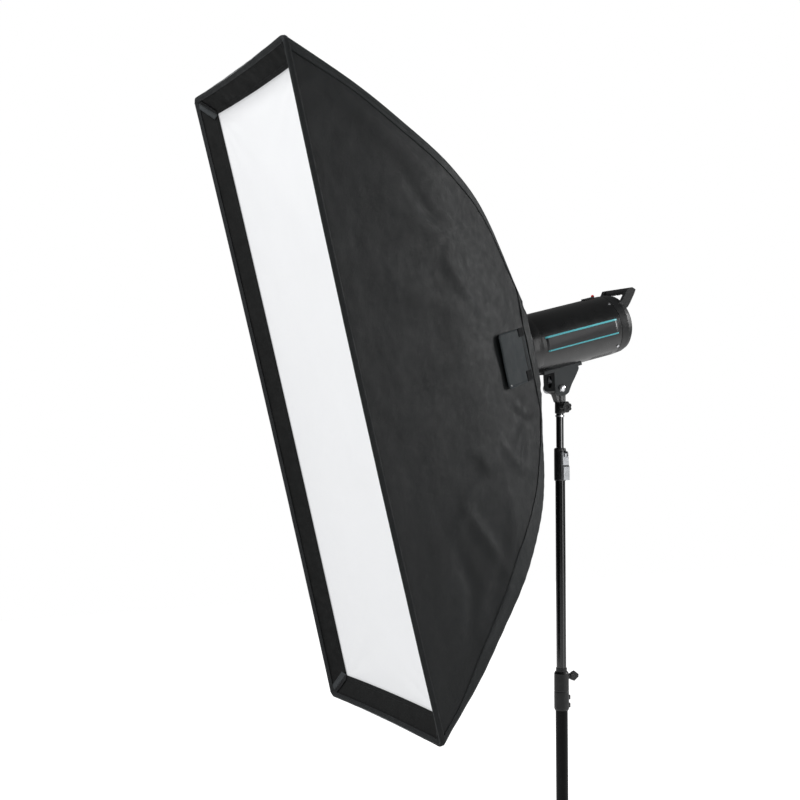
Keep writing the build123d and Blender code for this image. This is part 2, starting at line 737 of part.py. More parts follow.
with BuildPart() as slave_sensor:
    # on top of the barrel, with a domed eye
    block(at(0, 688, 64), 13, 26, 3.4, corner=3)
    drum(at(0, 703, 64), 3.5, 4.2)
    with Locations(at(0, 703, 68.2)):
        Sphere(3.5)
    drum(head_rear(0, 660, 0), BARREL_SEAT, 60, mode=CUT)
save(slave_sensor, "slave_sensor")

# ------------------------------------------------------------------
# flash head: inside the barrel
# ------------------------------------------------------------------
# blocks on the board: across, station, width, length, height, corner
BOARD_BLOCKS = [
    (-30, 570, 26, 30, 18, 2),
    (30, 600, 20, 24, 14, 2),
    (0, 690, 40, 12, 10, 1),
]
BLADES = 7

with BuildPart() as main_board:
    block(at(0, 625, -22), 96, 180, 1.8)
    for across, station, width, length, height, corner in BOARD_BLOCKS:
        block(at(across, station, -20.3), width, length, height, corner=corner)
save(main_board, "main_board")

with BuildPart() as capacitors:
    for across in (-22, 22):
        drum(head_rear(across, 540, 26), 19.5, 95)
        drum(head_rear(across, 635, 26), 6, 5)
save(capacitors, "capacitors")

with BuildPart() as fan_frame:
    block(head_rear(0, 716, 0), 62, 62, 14, corner=5)
    drum(head_rear(0, 715, 0), 28.5, 16, mode=CUT)
    # crossed arms and the rotor's bearing
    block(head_rear(0, 728, 0), 58.4, 3.4, 2)
    block(head_rear(0, 728, 0), 3.4, 58.4, 2)
    drum(head_rear(0, 726.2, 0), 12, 3.8)
    drum(head_rear(0, 715, 0), 1.55, 20, mode=CUT)
save(fan_frame, "fan_frame")

with BuildPart() as fan_rotor:
    drum(head_rear(0, 717.4, 0), 11.5, 8.4)
    drum(head_rear(0, 717.4, 0), 1.5, 12)
    for i in range(BLADES):
        angle = radians(i * 360 / BLADES)
        radial = (cos(angle), 0, sin(angle))
        pitched = (-sin(angle) * 0.82, 0.57, cos(angle) * 0.82)
        root = at(11 * cos(angle), 721.6, 11 * sin(angle), z_dir=radial, x_dir=pitched)
        block(root, 8.0, 1.1, 15.5)
save(fan_rotor, "fan_rotor")

with BuildPart() as case_screws:
    for angle in CASE_SCREW_ANGLES:
        drum(head_radial(angle, 63.0, CASE_SCREW_STATION), 1.5, 2.2)
        drum(head_radial(angle, BARREL_SEAT, CASE_SCREW_STATION), 3.0, 1.5)
        drum(head_radial(angle, 65.8, CASE_SCREW_STATION), 1.0, 1.0, mode=CUT)
save(case_screws, "case_screws")

# ------------------------------------------------------------------
# softbox: speedring and its mount
# ------------------------------------------------------------------
RING_SCREW_ANGLES = (0, 90, 180, 270)
RING_SCREW_CIRCLE = 56.0
INSERT_IN = 46.0

# rod sockets: side (1 right), end (1 top), start and direction in head axes
ROD_SOCKETS = [
    (
        side,
        end,
        Vector(46 * side, 474, 56 * end),
        Vector(28 * side, -16, 52 * end).normalized(),
    )
    for side in (1, -1)
    for end in (1, -1)
]

with BuildPart() as speedring:
    turned(
        AXIAL,
        [
            (468, RING_IN), (468, RING_R - 1), (469, RING_R),
            (475, RING_R), (476, RING_R - 1), (476, RING_IN),
        ],
    )
    for _, _, start, axis in ROD_SOCKETS:
        holder = at(*start, z_dir=tuple(axis), x_dir=(axis.Z, 0, -axis.X))
        drum(holder.offset(-1), 6.2, 27)
        drum(holder.offset(3), ROD_R + 0.04, 30, mode=CUT)
    drum(head_rear(0, 460, 0), RING_IN, 30, mode=CUT)
save(speedring, "speedring")

with BuildPart() as retaining_ring:
    turned(AXIAL, [(464, 50), (464, 65), (465, 66), (467.9, 66), (467.9, 50)])
    for angle in RING_SCREW_ANGLES:
        drum(head_polar(angle, RING_SCREW_CIRCLE, 460), 2.0, 12, mode=CUT)
save(retaining_ring, "retaining_ring")

with BuildPart() as mount_insert:
    # the part that locks on the head: the speedring turns round it
    turned(
        AXIAL,
        [
            (468, INSERT_IN), (468, 62.0), (476.1, 62.0), (476.1, 68), (482.6, 68),
            (482.6, 51.9), (489.5, 51.9), (493.4, 51.9), (493.4, INSERT_IN),
        ],
    )
    for angle in TAB_ANGLES:
        block(head_polar(angle, 54, 489.5), 20, 6.0, 3.6)
    drum(head_rear(0, 460, 0), INSERT_IN, 50, mode=CUT)
    for angle in RING_SCREW_ANGLES:
        drum(head_polar(angle, RING_SCREW_CIRCLE, 467), 1.55, 9, mode=CUT)
save(mount_insert, "mount_insert")

with BuildPart() as ring_screws:
    for angle in RING_SCREW_ANGLES:
        seat = head_polar(angle, RING_SCREW_CIRCLE, 462.4)
        drum(seat, 3.2, 1.55)
        drum(seat, 1.5, 12)
save(ring_screws, "ring_screws")

# ------------------------------------------------------------------
# softbox: rods, skin and diffusers
# ------------------------------------------------------------------
# station, inset across and inset in height: the steeper the panel, the more inset
ROD_STATIONS = [
    (440, 9.5, 22), (415, 9.5, 20), (375, 9.5, 15), (330, 9.5, 13),
    (275, 9.5, 11.5), (205, 9, 10.5), (115, 9, 10), (20, 9, 9.5),
]
FLAP_FRONT, FLAP_REAR = 350.0, 447.0  # stations
FLAP_BOTTOM, FLAP_TOP = -61.0, 48.0
FLAP_HEM = 11.0  # flap's overlap round its opening
FLAP_GAP, FLAP_T = 2.6, 2.0
LIP_FRONT = (2.0, 246.5, 646.0)  # rear face: station, half width, half height
LIP_REAR = (28.4, 209.4, 606.7)
LIP_SHIFT = 1.6  # front face ahead of the rear face


def skin_at(station):
    """Half width and half height of the skin's outside at a station."""
    for (s0, width0, height0), (s1, width1, height1) in zip(SECTIONS, SECTIONS[1:]):
        if s0 <= station <= s1:
            k = (station - s0) / (s1 - s0)
            return width0 + (width1 - width0) * k, height0 + (height1 - height0) * k


def skin_rows(gap, extra):
    """The sections less a gap, both ends run on along their slope by extra stations."""
    rows = [(station, width - gap, height - gap) for station, width, height in SECTIONS]

    def run_on(end, inner):
        k = extra / abs(end[0] - inner[0])
        return tuple(outer + (outer - near) * k for outer, near in zip(end, inner))

    return [run_on(rows[0], rows[1]), *rows[1:-1], run_on(rows[-1], rows[-2])]


with BuildPart() as support_rods:
    for side, end, start, axis in ROD_SOCKETS:
        points = [start + axis * 3.4, start + axis * 27]
        for station, inset_across, inset_height in ROD_STATIONS:
            width, height = skin_at(station)
            points.append(
                Vector((width - inset_across) * side, station, (height - inset_height) * end)
            )
        placed = [at(*point).origin for point in points]
        with BuildLine() as path:
            straight = Line(placed[0], placed[1])
            Spline(
                *placed[1:], tangents=[straight % 1, (placed[-1] - placed[-2]).normalized()]
            )
        with BuildSketch(Plane(origin=placed[0], z_dir=(placed[1] - placed[0]).normalized())):
            Circle(ROD_R)
        sweep(path=path.wire(), transition=Transition.RIGHT)
save(support_rods, "support_rods")

with BuildPart() as fabric_shell:
    for gap, extra, mode in ((0.0, 0.0, Mode.ADD), (SKIN, 0.8, CUT)):
        rows = skin_rows(gap, extra)
        for near_row, far_row in zip(rows, rows[1:]):
            frustum(near_row, far_row, mode)
    # access openings under the two flaps
    for facing in (head_right, head_left):
        block(
            facing(0, (FLAP_FRONT + FLAP_REAR) / 2, (FLAP_BOTTOM + FLAP_TOP) / 2),
            FLAP_REAR - FLAP_FRONT - 2 * FLAP_HEM,
            FLAP_TOP - FLAP_BOTTOM - 2 * FLAP_HEM,
            200,
            mode=CUT,
        )
save(fabric_shell, "fabric_shell")

# flaps follow the skin, bending at the sections between their ends
bends = [station for station, _, _ in SECTIONS if FLAP_FRONT < station < FLAP_REAR]
flap_line = [
    (skin_at(station)[0] + FLAP_GAP, station) for station in (FLAP_FRONT, *bends, FLAP_REAR)
]
flap_outline = flap_line + [(across + FLAP_T, station) for across, station in flap_line[::-1]]
for side, name in ((1, "access_flap_right"), (-1, "access_flap_left")):
    with BuildPart() as flap:
        prism(
            at(0, PIVOT_STATION - PIVOT_STATION, FLAP_BOTTOM),
            [(side * across, station) for across, station in flap_outline],
            FLAP_TOP - FLAP_BOTTOM,
        )
    save(flap, name)

with BuildPart() as front_lip:
    for shift, mode in ((0.0, Mode.ADD), (LIP_SHIFT, CUT)):
        wide, narrow = ((row[0] - shift, *row[1:]) for row in (LIP_FRONT, LIP_REAR))
        frustum(wide, narrow, mode)
    block(head_rear(0, -5, 0), 2 * LIP_REAR[1], 2 * LIP_REAR[2], 60, mode=CUT)
save(front_lip, "front_lip")

with BuildPart() as front_diffuser:
    block(head_rear(0, 29.4, 0), 2 * 221, 2 * 612, 1.4, corner=12)
save(front_diffuser, "front_diffuser")

with BuildPart() as inner_baffle:
    block(head_rear(0, 190, 0), 2 * 160, 2 * 440, 1.4, corner=12)
save(inner_baffle, "inner_baffle")
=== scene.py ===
"""Tall softbox on a flash head and a light stand, dressed over its CAD pieces.

The head's own axes, in mm: u runs across (+X), s runs back from the softbox's front
plane and v runs up. world() turns them into the row frame in metres, with +Z up.
"""
import bpy
import json
import math
import numpy as np
from mathutils import Matrix, Vector, noise

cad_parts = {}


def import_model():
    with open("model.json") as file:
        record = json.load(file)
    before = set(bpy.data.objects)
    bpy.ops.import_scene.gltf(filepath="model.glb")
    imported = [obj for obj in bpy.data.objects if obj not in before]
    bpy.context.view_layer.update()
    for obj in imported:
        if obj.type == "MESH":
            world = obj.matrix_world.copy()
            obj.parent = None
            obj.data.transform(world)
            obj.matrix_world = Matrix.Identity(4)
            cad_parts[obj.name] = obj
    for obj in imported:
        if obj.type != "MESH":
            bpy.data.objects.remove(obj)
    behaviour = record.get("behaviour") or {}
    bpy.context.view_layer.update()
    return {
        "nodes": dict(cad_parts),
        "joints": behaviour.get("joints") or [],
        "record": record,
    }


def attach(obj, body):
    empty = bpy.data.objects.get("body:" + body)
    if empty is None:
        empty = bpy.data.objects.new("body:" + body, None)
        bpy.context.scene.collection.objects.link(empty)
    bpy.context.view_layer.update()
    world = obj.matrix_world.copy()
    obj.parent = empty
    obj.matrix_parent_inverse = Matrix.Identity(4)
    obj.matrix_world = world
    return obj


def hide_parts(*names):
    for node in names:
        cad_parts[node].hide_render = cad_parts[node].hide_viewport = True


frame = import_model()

NODES = frame["nodes"]
JOINTS = {joint["name"]: joint for joint in frame["joints"]}

# ------------------------------------------------------------------
# the head's axes
# ------------------------------------------------------------------
ROLL_POS = np.array(JOINTS["softbox_roll"]["pos_m"], float)
ROLL_S = 472.0  # s of the roll joint
BACK = -np.array(JOINTS["softbox_roll"]["axis"], float)
BACK /= np.linalg.norm(BACK)
ACROSS = np.array([1.0, 0.0, 0.0])
UPWARD = np.cross(ACROSS, BACK)
TILT_PIVOT = Vector(JOINTS["tilt"]["pos_m"])

# sizes shared by several pieces, mm
FRONT_HALF_U, FRONT_HALF_V = 250.0, 650.0  # front edge of the softbox
FRONT_CORNER = 13.0
FRONT_BOW = (10.0, 4.0)  # how far its sides and ends are pulled in at their middles
LIP_S, LIP_HALF_U, LIP_HALF_V = 27.4, 209.4, 606.7  # inner edge of the front lip
LIP_CORNER = 3.0
LIP_BOW = (7.0, 3.0)
S_END = 475.0  # rear end of the cloth skin
FLAP_S, FLAP_V = (350.0, 447.0), (-61.0, 48.0)  # extent of an access flap
OPENING_INSET = 11.0  # from the flap's edge to the opening under it
BARREL_RADIUS = 65.0  # flash head

# right, upper, left and lower side: outward direction, then the corner that follows it
SIDES = ((1, 0), (0, 1), (-1, 0), (0, -1))
CORNERS = ((1, 1), (-1, 1), (-1, -1), (1, -1))


def world(points):
    """(u, s, v) in mm, in an array of any shape, to the row frame in metres."""
    q = np.asarray(points, float) / 1000.0
    from_roll = q[..., 1:2] - ROLL_S / 1000.0
    return ROLL_POS + q[..., :1] * ACROSS + from_roll * BACK + q[..., 2:3] * UPWARD


def local_of(points):
    """Row frame metres to (u, s, v) in mm."""
    d = points - ROLL_POS
    return np.c_[d @ ACROSS, d @ BACK + ROLL_S / 1000.0, d @ UPWARD] * 1000.0


# ------------------------------------------------------------------
# mesh helpers
# ------------------------------------------------------------------
def make_mesh(name, verts, faces, uvs=None):
    mesh = bpy.data.meshes.new(name)
    mesh.from_pydata([tuple(v) for v in verts], [], [tuple(int(i) for i in f) for f in faces])
    if uvs is not None:
        layer = mesh.uv_layers.new(name="cloth")
        flat = np.concatenate([uvs[list(f)] for f in faces]).astype(np.float32)
        layer.data.foreach_set("uv", flat.ravel())
    mesh.polygons.foreach_set("use_smooth", [True] * len(mesh.polygons))
    mesh.update()
    obj = bpy.data.objects.new(name, mesh)
    bpy.context.scene.collection.objects.link(obj)
    return obj


def grid_faces(rows, cols, wrap, flip):
    faces = []
    for i in range(rows - 1):
        for j in range(cols if wrap else cols - 1):
            k = (j + 1) % cols
            face = (i * cols + j, i * cols + k, (i + 1) * cols + k, (i + 1) * cols + j)
            faces.append(face[::-1] if flip else face)
    return faces


def grid_mesh(name, points, uv, wrap=False, flip=False, keep=None):
    """Mesh of a rows x cols x 3 grid in metres. keep is an optional mask of faces."""
    faces = grid_faces(*points.shape[:2], wrap, flip)
    verts, uvs = points.reshape(-1, 3), uv.reshape(-1, 2)
    if keep is not None:
        faces = [f for f, kept in zip(faces, keep) if kept]
        used = sorted({i for f in faces for i in f})
        new_index = {old: new for new, old in enumerate(used)}
        faces = [tuple(new_index[i] for i in f) for f in faces]
        verts, uvs = verts[used], uvs[used]
    return make_mesh(name, verts, faces, uvs)


def solidify(obj, thickness, offset, inner):
    """Gives a sheet its thickness; inner shifts the material slot of the offset side."""
    modifier = obj.modifiers.new("thickness", "SOLIDIFY")
    modifier.thickness = thickness
    modifier.offset = offset
    modifier.use_even_offset = False
    modifier.use_quality_normals = True
    modifier.material_offset = inner
    bpy.context.view_layer.update()
    depsgraph = bpy.context.evaluated_depsgraph_get()
    mesh = bpy.data.meshes.new_from_object(
        obj.evaluated_get(depsgraph), preserve_all_data_layers=True, depsgraph=depsgraph
    )
    obj.modifiers.clear()
    obj.data = mesh


def finish_sheet(obj, materials, thickness, offset, body="softbox", slot="fabric_black",
                 replaces=None, inner=0):
    for key in materials:
        obj.data.materials.append(MATS[key])
    solidify(obj, thickness, offset, inner)
    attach(obj, body)
    if replaces:
        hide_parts(replaces)


def run_length(points, axis=0):
    """Distance along one axis of a grid of points, from 0."""
    steps = np.linalg.norm(np.diff(points, axis=axis), axis=-1)
    return np.insert(np.cumsum(steps, axis), 0, 0.0, axis)


def uv_grid(first, second):
    return np.stack(np.broadcast_arrays(first, second), -1)


def loft_strip(name, grid, material, thickness, offset, wrap=False, **fitting):
    """A strip of cloth through a grid of (u, s, v) points. Returns the grid in metres."""
    points = world(grid)
    uv = uv_grid(run_length(points, 0), run_length(points, 1))
    obj = grid_mesh(name, points, uv, wrap=wrap)
    finish_sheet(obj, [material], thickness, offset, **fitting)
    return points


def normals_of(points, wrap=False):
    """Unit normals of a rows x cols x 3 grid."""
    along_rows = np.gradient(points, axis=0)
    if wrap:
        along_cols = (np.roll(points, -1, 1) - np.roll(points, 1, 1)) / 2
    else:
        along_cols = np.gradient(points, axis=1)
    n = np.cross(along_cols, along_rows)
    return n / np.maximum(np.linalg.norm(n, axis=-1, keepdims=True), 1e-12)


def fractal(points, scale, seed, octaves):
    """Smooth noise about -1..1 at points (N x 3) with features about scale long."""
    shift = Vector((seed * 13.1, seed * 7.7, seed * 3.3))
    return np.array([
        noise.fractal(Vector(p) / scale + shift, 0.7, 2.0, octaves) for p in points
    ])


def smooth_step(x, start, end):
    t = np.clip((x - start) / (end - start), 0, 1)
    return t * t * (3 - 2 * t)


# ------------------------------------------------------------------
# material helpers
# ------------------------------------------------------------------
def srgb(*rgb):
    """0..255 display values to linear ones."""
    parts = (c / 255 for c in rgb)
    return tuple(c / 12.92 if c <= 0.04045 else ((c + 0.055) / 1.055) ** 2.4 for c in parts)


def shade(color, factor):
    return tuple(c * factor for c in color)


class Mat:
    """A node material on a Principled shader, with short calls for its parts."""

    def __init__(self, name, color, rough, metallic=0.0, specular=0.5):
        self.material = bpy.data.materials.new(name)
        self.material.use_nodes = True
        self.material.diffuse_color = (*color, 1)
        self.nodes = self.material.node_tree.nodes
        self.links = self.material.node_tree.links
        self.inputs = self.nodes["Principled BSDF"].inputs
        self.color = color
        self.rough = rough
        self.tex_coord = None
        self.normal = None
        self.set(Base_Color=(*color, 1), Roughness=rough, Metallic=metallic,
                 Specular_IOR_Level=specular)

    def set(self, **values):
        """Sets shader inputs; an underscore stands for a space."""
        for key, value in values.items():
            self.inputs[key.replace("_", " ")].default_value = value

    def to(self, socket, value):
        self.links.new(value, self.inputs[socket])

    def coords(self, kind="Object"):
        if self.tex_coord is None:
            self.tex_coord = self.nodes.new("ShaderNodeTexCoord")
        return self.tex_coord.outputs[kind]

    def scaled(self, source, scale):
        node = self.nodes.new("ShaderNodeMapping")
        node.inputs["Scale"].default_value = scale
        self.links.new(source, node.inputs["Vector"])
        return node.outputs[0]

    def noise(self, scale, detail, rough=0.55, vector=None):
        node = self.nodes.new("ShaderNodeTexNoise")
        node.inputs["Scale"].default_value = scale
        node.inputs["Detail"].default_value = detail
        node.inputs["Roughness"].default_value = rough
        self.links.new(vector or self.coords(), node.inputs["Vector"])
        return node.outputs["Fac"]

    def ramp(self, fac, low, high):
        """Blends from low at 0.3 to high at 0.7."""
        node = self.nodes.new("ShaderNodeValToRGB")
        for element, position, color in zip(node.color_ramp.elements, (0.3, 0.7), (low, high)):
            element.position = position
            element.color = (*color, 1)
        self.links.new(fac, node.inputs["Fac"])
        return node.outputs["Color"]

    def mottle(self, scale, detail, low, high):
        """The base colour varied by noise between two factors."""
        fac = self.noise(scale=scale, detail=detail)
        return self.ramp(fac, shade(self.color, low), shade(self.color, high))

    def span(self, value, to, over=(0.0, 1.0)):
        """Maps the range over on to the range to."""
        node = self.nodes.new("ShaderNodeMapRange")
        for key, number in zip(("From Min", "From Max", "To Min", "To Max"), (*over, *to)):
            node.inputs[key].default_value = number
        self.links.new(value, node.inputs["Value"])
        return node.outputs["Result"]

    def vary_roughness(self, fac, below, above):
        to = (self.rough - below, self.rough + above)
        self.to("Roughness", self.span(fac, to=to, over=(0.3, 0.7)))

    def calc(self, operation, a, b=0.0):
        node = self.nodes.new("ShaderNodeMath")
        node.operation = operation
        for i, value in enumerate((a, b)):
            if isinstance(value, (int, float)):
                node.inputs[i].default_value = value
            else:
                self.links.new(value, node.inputs[i])
        return node.outputs[0]

    def product(self, a, b):
        return self.calc("MULTIPLY", a, b)

    def mix(self, fac, base, color):
        """Mixes a plain colour over a linked one."""
        node = self.nodes.new("ShaderNodeMix")
        node.data_type = "RGBA"
        self.links.new(fac, node.inputs[0])
        self.links.new(base, node.inputs[6])
        node.inputs[7].default_value = (*color, 1)
        return node.outputs[2]

    def use_normal(self, node):
        self.normal = node.outputs["Normal"]
        self.to("Normal", self.normal)

    def bump(self, height, strength, distance):
        """Adds a bump on top of the normal so far."""
        node = self.nodes.new("ShaderNodeBump")
        node.inputs["Strength"].default_value = strength
        node.inputs["Distance"].default_value = distance
        self.links.new(height, node.inputs["Height"])
        if self.normal is not None:
            self.links.new(self.normal, node.inputs["Normal"])
        self.use_normal(node)

    def bevel(self, radius):
        node = self.nodes.new("ShaderNodeBevel")
        node.samples = 4
        node.inputs["Radius"].default_value = radius
        return node

    def round_edges(self, radius):
        """Soft edges by a bevelled normal."""
        self.use_normal(self.bevel(radius))

    def edge_mask(self, radius, gain):
        """About 1 along edges, 0 on faces."""
        bevel = self.bevel(radius)
        geometry = self.nodes.new("ShaderNodeNewGeometry")
        dot = self.nodes.new("ShaderNodeVectorMath")
        dot.operation = "DOT_PRODUCT"
        self.links.new(bevel.outputs["Normal"], dot.inputs[0])
        self.links.new(geometry.outputs["Normal"], dot.inputs[1])
        turned = self.calc("SUBTRACT", 1.0, dot.outputs["Value"])
        return self.calc("MINIMUM", self.product(turned, gain), 1.0)

    def weave(self, pitch):
        """Plain weave height from the cloth coordinates, 0..1, pitch in metres."""
        split = self.nodes.new("ShaderNodeSeparateXYZ")
        self.links.new(self.scaled(self.coords("UV"), (1 / pitch,) * 3), split.inputs[0])
        x = self.product(split.outputs[0], math.pi)
        y = self.product(split.outputs[1], math.pi)
        wave_x = self.calc("ABSOLUTE", self.calc("SINE", x))
        wave_y = self.calc("ABSOLUTE", self.calc("SINE", y))
        checker = self.product(self.calc("SINE", x), self.calc("SINE", y))
        over = self.calc("GREATER_THAN", checker, 0.0)
        under = self.calc("SUBTRACT", 1.0, over)
        return self.calc("ADD", self.product(over, wave_x), self.product(under, wave_y))


# ------------------------------------------------------------------
# kinds of material
# ------------------------------------------------------------------
def dark_cloth(name, color, rough, sheen, pitch=0.0011, mottled=0.5):
    m = Mat(name, color, rough, specular=0.24)
    fine = m.noise(scale=60.0, detail=4.0)
    base = m.mottle(scale=9.0, detail=3.0, low=1 - 0.28 * mottled, high=1 + 0.45 * mottled)
    weave = m.weave(pitch)
    base = m.mix(m.span(weave, to=(0.0, 0.35)), base, shade(color, 0.45))
    base = m.mix(m.span(fine, to=(0.0, 0.35), over=(0.45, 0.75)), base, shade(color, 1.5))
    m.to("Base Color", base)
    m.vary_roughness(fine, below=0.08, above=0.1)
    m.set(Sheen_Weight=sheen, Sheen_Roughness=0.45, Sheen_Tint=(0.8, 0.85, 0.88, 1))
    m.bump(m.noise(scale=22.0, detail=5.0, rough=0.6), strength=0.35, distance=0.004)
    m.bump(weave, strength=0.35, distance=0.00025)
    return m.material


def white_cloth(name, color, glow):
    m = Mat(name, color, rough=0.75, specular=0.25)
    m.to("Base Color", m.mottle(scale=7.0, detail=4.0, low=0.965, high=1.0))
    # the emission is painted light: glow makes the cloth shine as if lit, standing in for the
    # light on the diffuser's front
    m.set(Sheen_Weight=0.2, Sheen_Roughness=0.6,
          Emission_Color=(0.97, 0.98, 1.0, 1), Emission_Strength=glow)
    m.bump(m.noise(scale=16.0, detail=5.0, rough=0.6), strength=0.25, distance=0.004)
    m.bump(m.weave(0.0012), strength=0.22, distance=0.0002)
    return m.material


def thread(name, color):
    m = Mat(name, color, rough=0.6, specular=0.3)
    m.to("Base Color", m.mottle(scale=900.0, detail=2.0, low=0.7, high=1.0))
    m.bump(m.noise(scale=1800.0, detail=2.0), strength=0.4, distance=0.0003)
    return m.material


def silver_lining(name):
    m = Mat(name, srgb(196, 199, 202), rough=0.33, metallic=0.85)
    m.to("Roughness", m.span(m.noise(scale=40.0, detail=4.0), to=(0.26, 0.46)))
    m.bump(m.noise(scale=120.0, detail=5.0, rough=0.7), strength=0.5, distance=0.0015)
    m.bump(m.weave(0.0016), strength=0.3, distance=0.0003)
    return m.material


def paint(name, color, rough, coat, peel, wear, scale=380.0, tube=False, specular=0.5):
    """Dark paint; peel is the strength of its fine bumps, scale their frequency."""
    m = Mat(name, color, rough, specular=specular)
    patches = m.noise(scale=70.0, detail=5.0, rough=0.65)
    patches = m.span(patches, to=(0.0, 1.0), over=(0.5, 0.62))
    if tube:
        # a thin-walled tube: light rub marks along it in place of worn edges
        along = m.scaled(m.coords(), (500, 500, 14))
        rubs = m.noise(scale=1.0, detail=2.0, rough=0.5, vector=along)
        marks = m.span(rubs, to=(0.0, 1.0), over=(0.6, 0.75))
    else:
        m.round_edges(radius=0.0006)
        marks = m.edge_mask(radius=0.0012, gain=5.0)
    worn = m.product(m.product(marks, patches), wear)
    base = m.mottle(scale=14.0, detail=3.0, low=0.8, high=1.25)
    m.to("Base Color", m.mix(worn, base, (0.35, 0.35, 0.36)))
    m.vary_roughness(m.noise(scale=55.0, detail=4.0), below=0.05, above=0.07)
    m.set(Coat_Weight=coat, Coat_Roughness=0.12)
    m.bump(m.noise(scale=scale, detail=2.0), strength=peel, distance=0.00012)
    return m.material


def moulded(name, color, rough, grain=1400.0, amount=0.3, coat=0.0, base=None):
    """Moulded plastic; grain is the frequency of its texture, amount the strength."""
    m = Mat(name, color, rough, specular=0.45)
    m.round_edges(radius=0.0005)
    m.to("Base Color", base(m) if base else m.mottle(scale=25.0, detail=3.0, low=0.82, high=1.18))
    m.vary_roughness(m.noise(scale=90.0, detail=4.0), below=0.06, above=0.08)
    if coat:
        m.set(Coat_Weight=coat, Coat_Roughness=0.1)
    m.bump(m.noise(scale=grain, detail=3.0), strength=amount, distance=0.00015)
    return m.material


def board_tracks(m):
    """Green blocks with thin gold lines between them."""
    brick = m.nodes.new("ShaderNodeTexBrick")
    m.links.new(m.coords(), brick.inputs["Vector"])
    brick.inputs["Scale"].default_value = 160.0
    brick.inputs["Color1"].default_value = (*m.color, 1)
    brick.inputs["Color2"].default_value = (*srgb(18, 78, 38), 1)
    brick.inputs["Mortar"].default_value = (*srgb(150, 140, 60), 1)
    brick.inputs["Mortar Size"].default_value = 0.03
    return brick.outputs["Color"]


def metal(name, color, rough, brushed=None, scale=300.0):
    """Bare metal; brushed is the noise frequency on each axis."""
    m = Mat(name, color, rough, metallic=1.0)
    m.round_edges(radius=0.0005)
    m.to("Base Color", m.mottle(scale=45.0, detail=4.0, low=0.86, high=1.0))
    if brushed:
        lines = m.scaled(m.coords(), brushed)
        grain = m.noise(scale=1.0, detail=4.0, rough=0.6, vector=lines)
        m.vary_roughness(grain, below=0.08, above=0.14)
        m.bump(grain, strength=0.18, distance=0.0002)
    else:
        grain = m.noise(scale=scale, detail=4.0)
        m.vary_roughness(grain, below=0.05, above=0.1)
        m.bump(grain, strength=0.2, distance=0.0002)
    return m.material


def quartz_tube(name):
    m = Mat(name, (0.98, 0.98, 1.0), rough=0.05)
    m.set(Transmission_Weight=0.92, IOR=1.45)
    m.bump(m.noise(scale=60.0, detail=2.0), strength=0.1, distance=0.0004)
    return m.material


def frosted_glass(name):
    m = Mat(name, srgb(240, 238, 230), rough=0.45)
    m.set(Transmission_Weight=0.35)
    m.bump(m.noise(scale=900.0, detail=3.0), strength=0.2, distance=0.0002)
    return m.material


def cyan_stripe(name):
    m = Mat(name, srgb(96, 206, 216), rough=0.35)
    fac = m.noise(scale=30.0, detail=3.0)
    m.to("Base Color", m.ramp(fac, low=srgb(84, 194, 206), high=srgb(110, 214, 222)))
    m.bump(m.noise(scale=900.0, detail=2.0), strength=0.15, distance=0.0001)
    return m.material


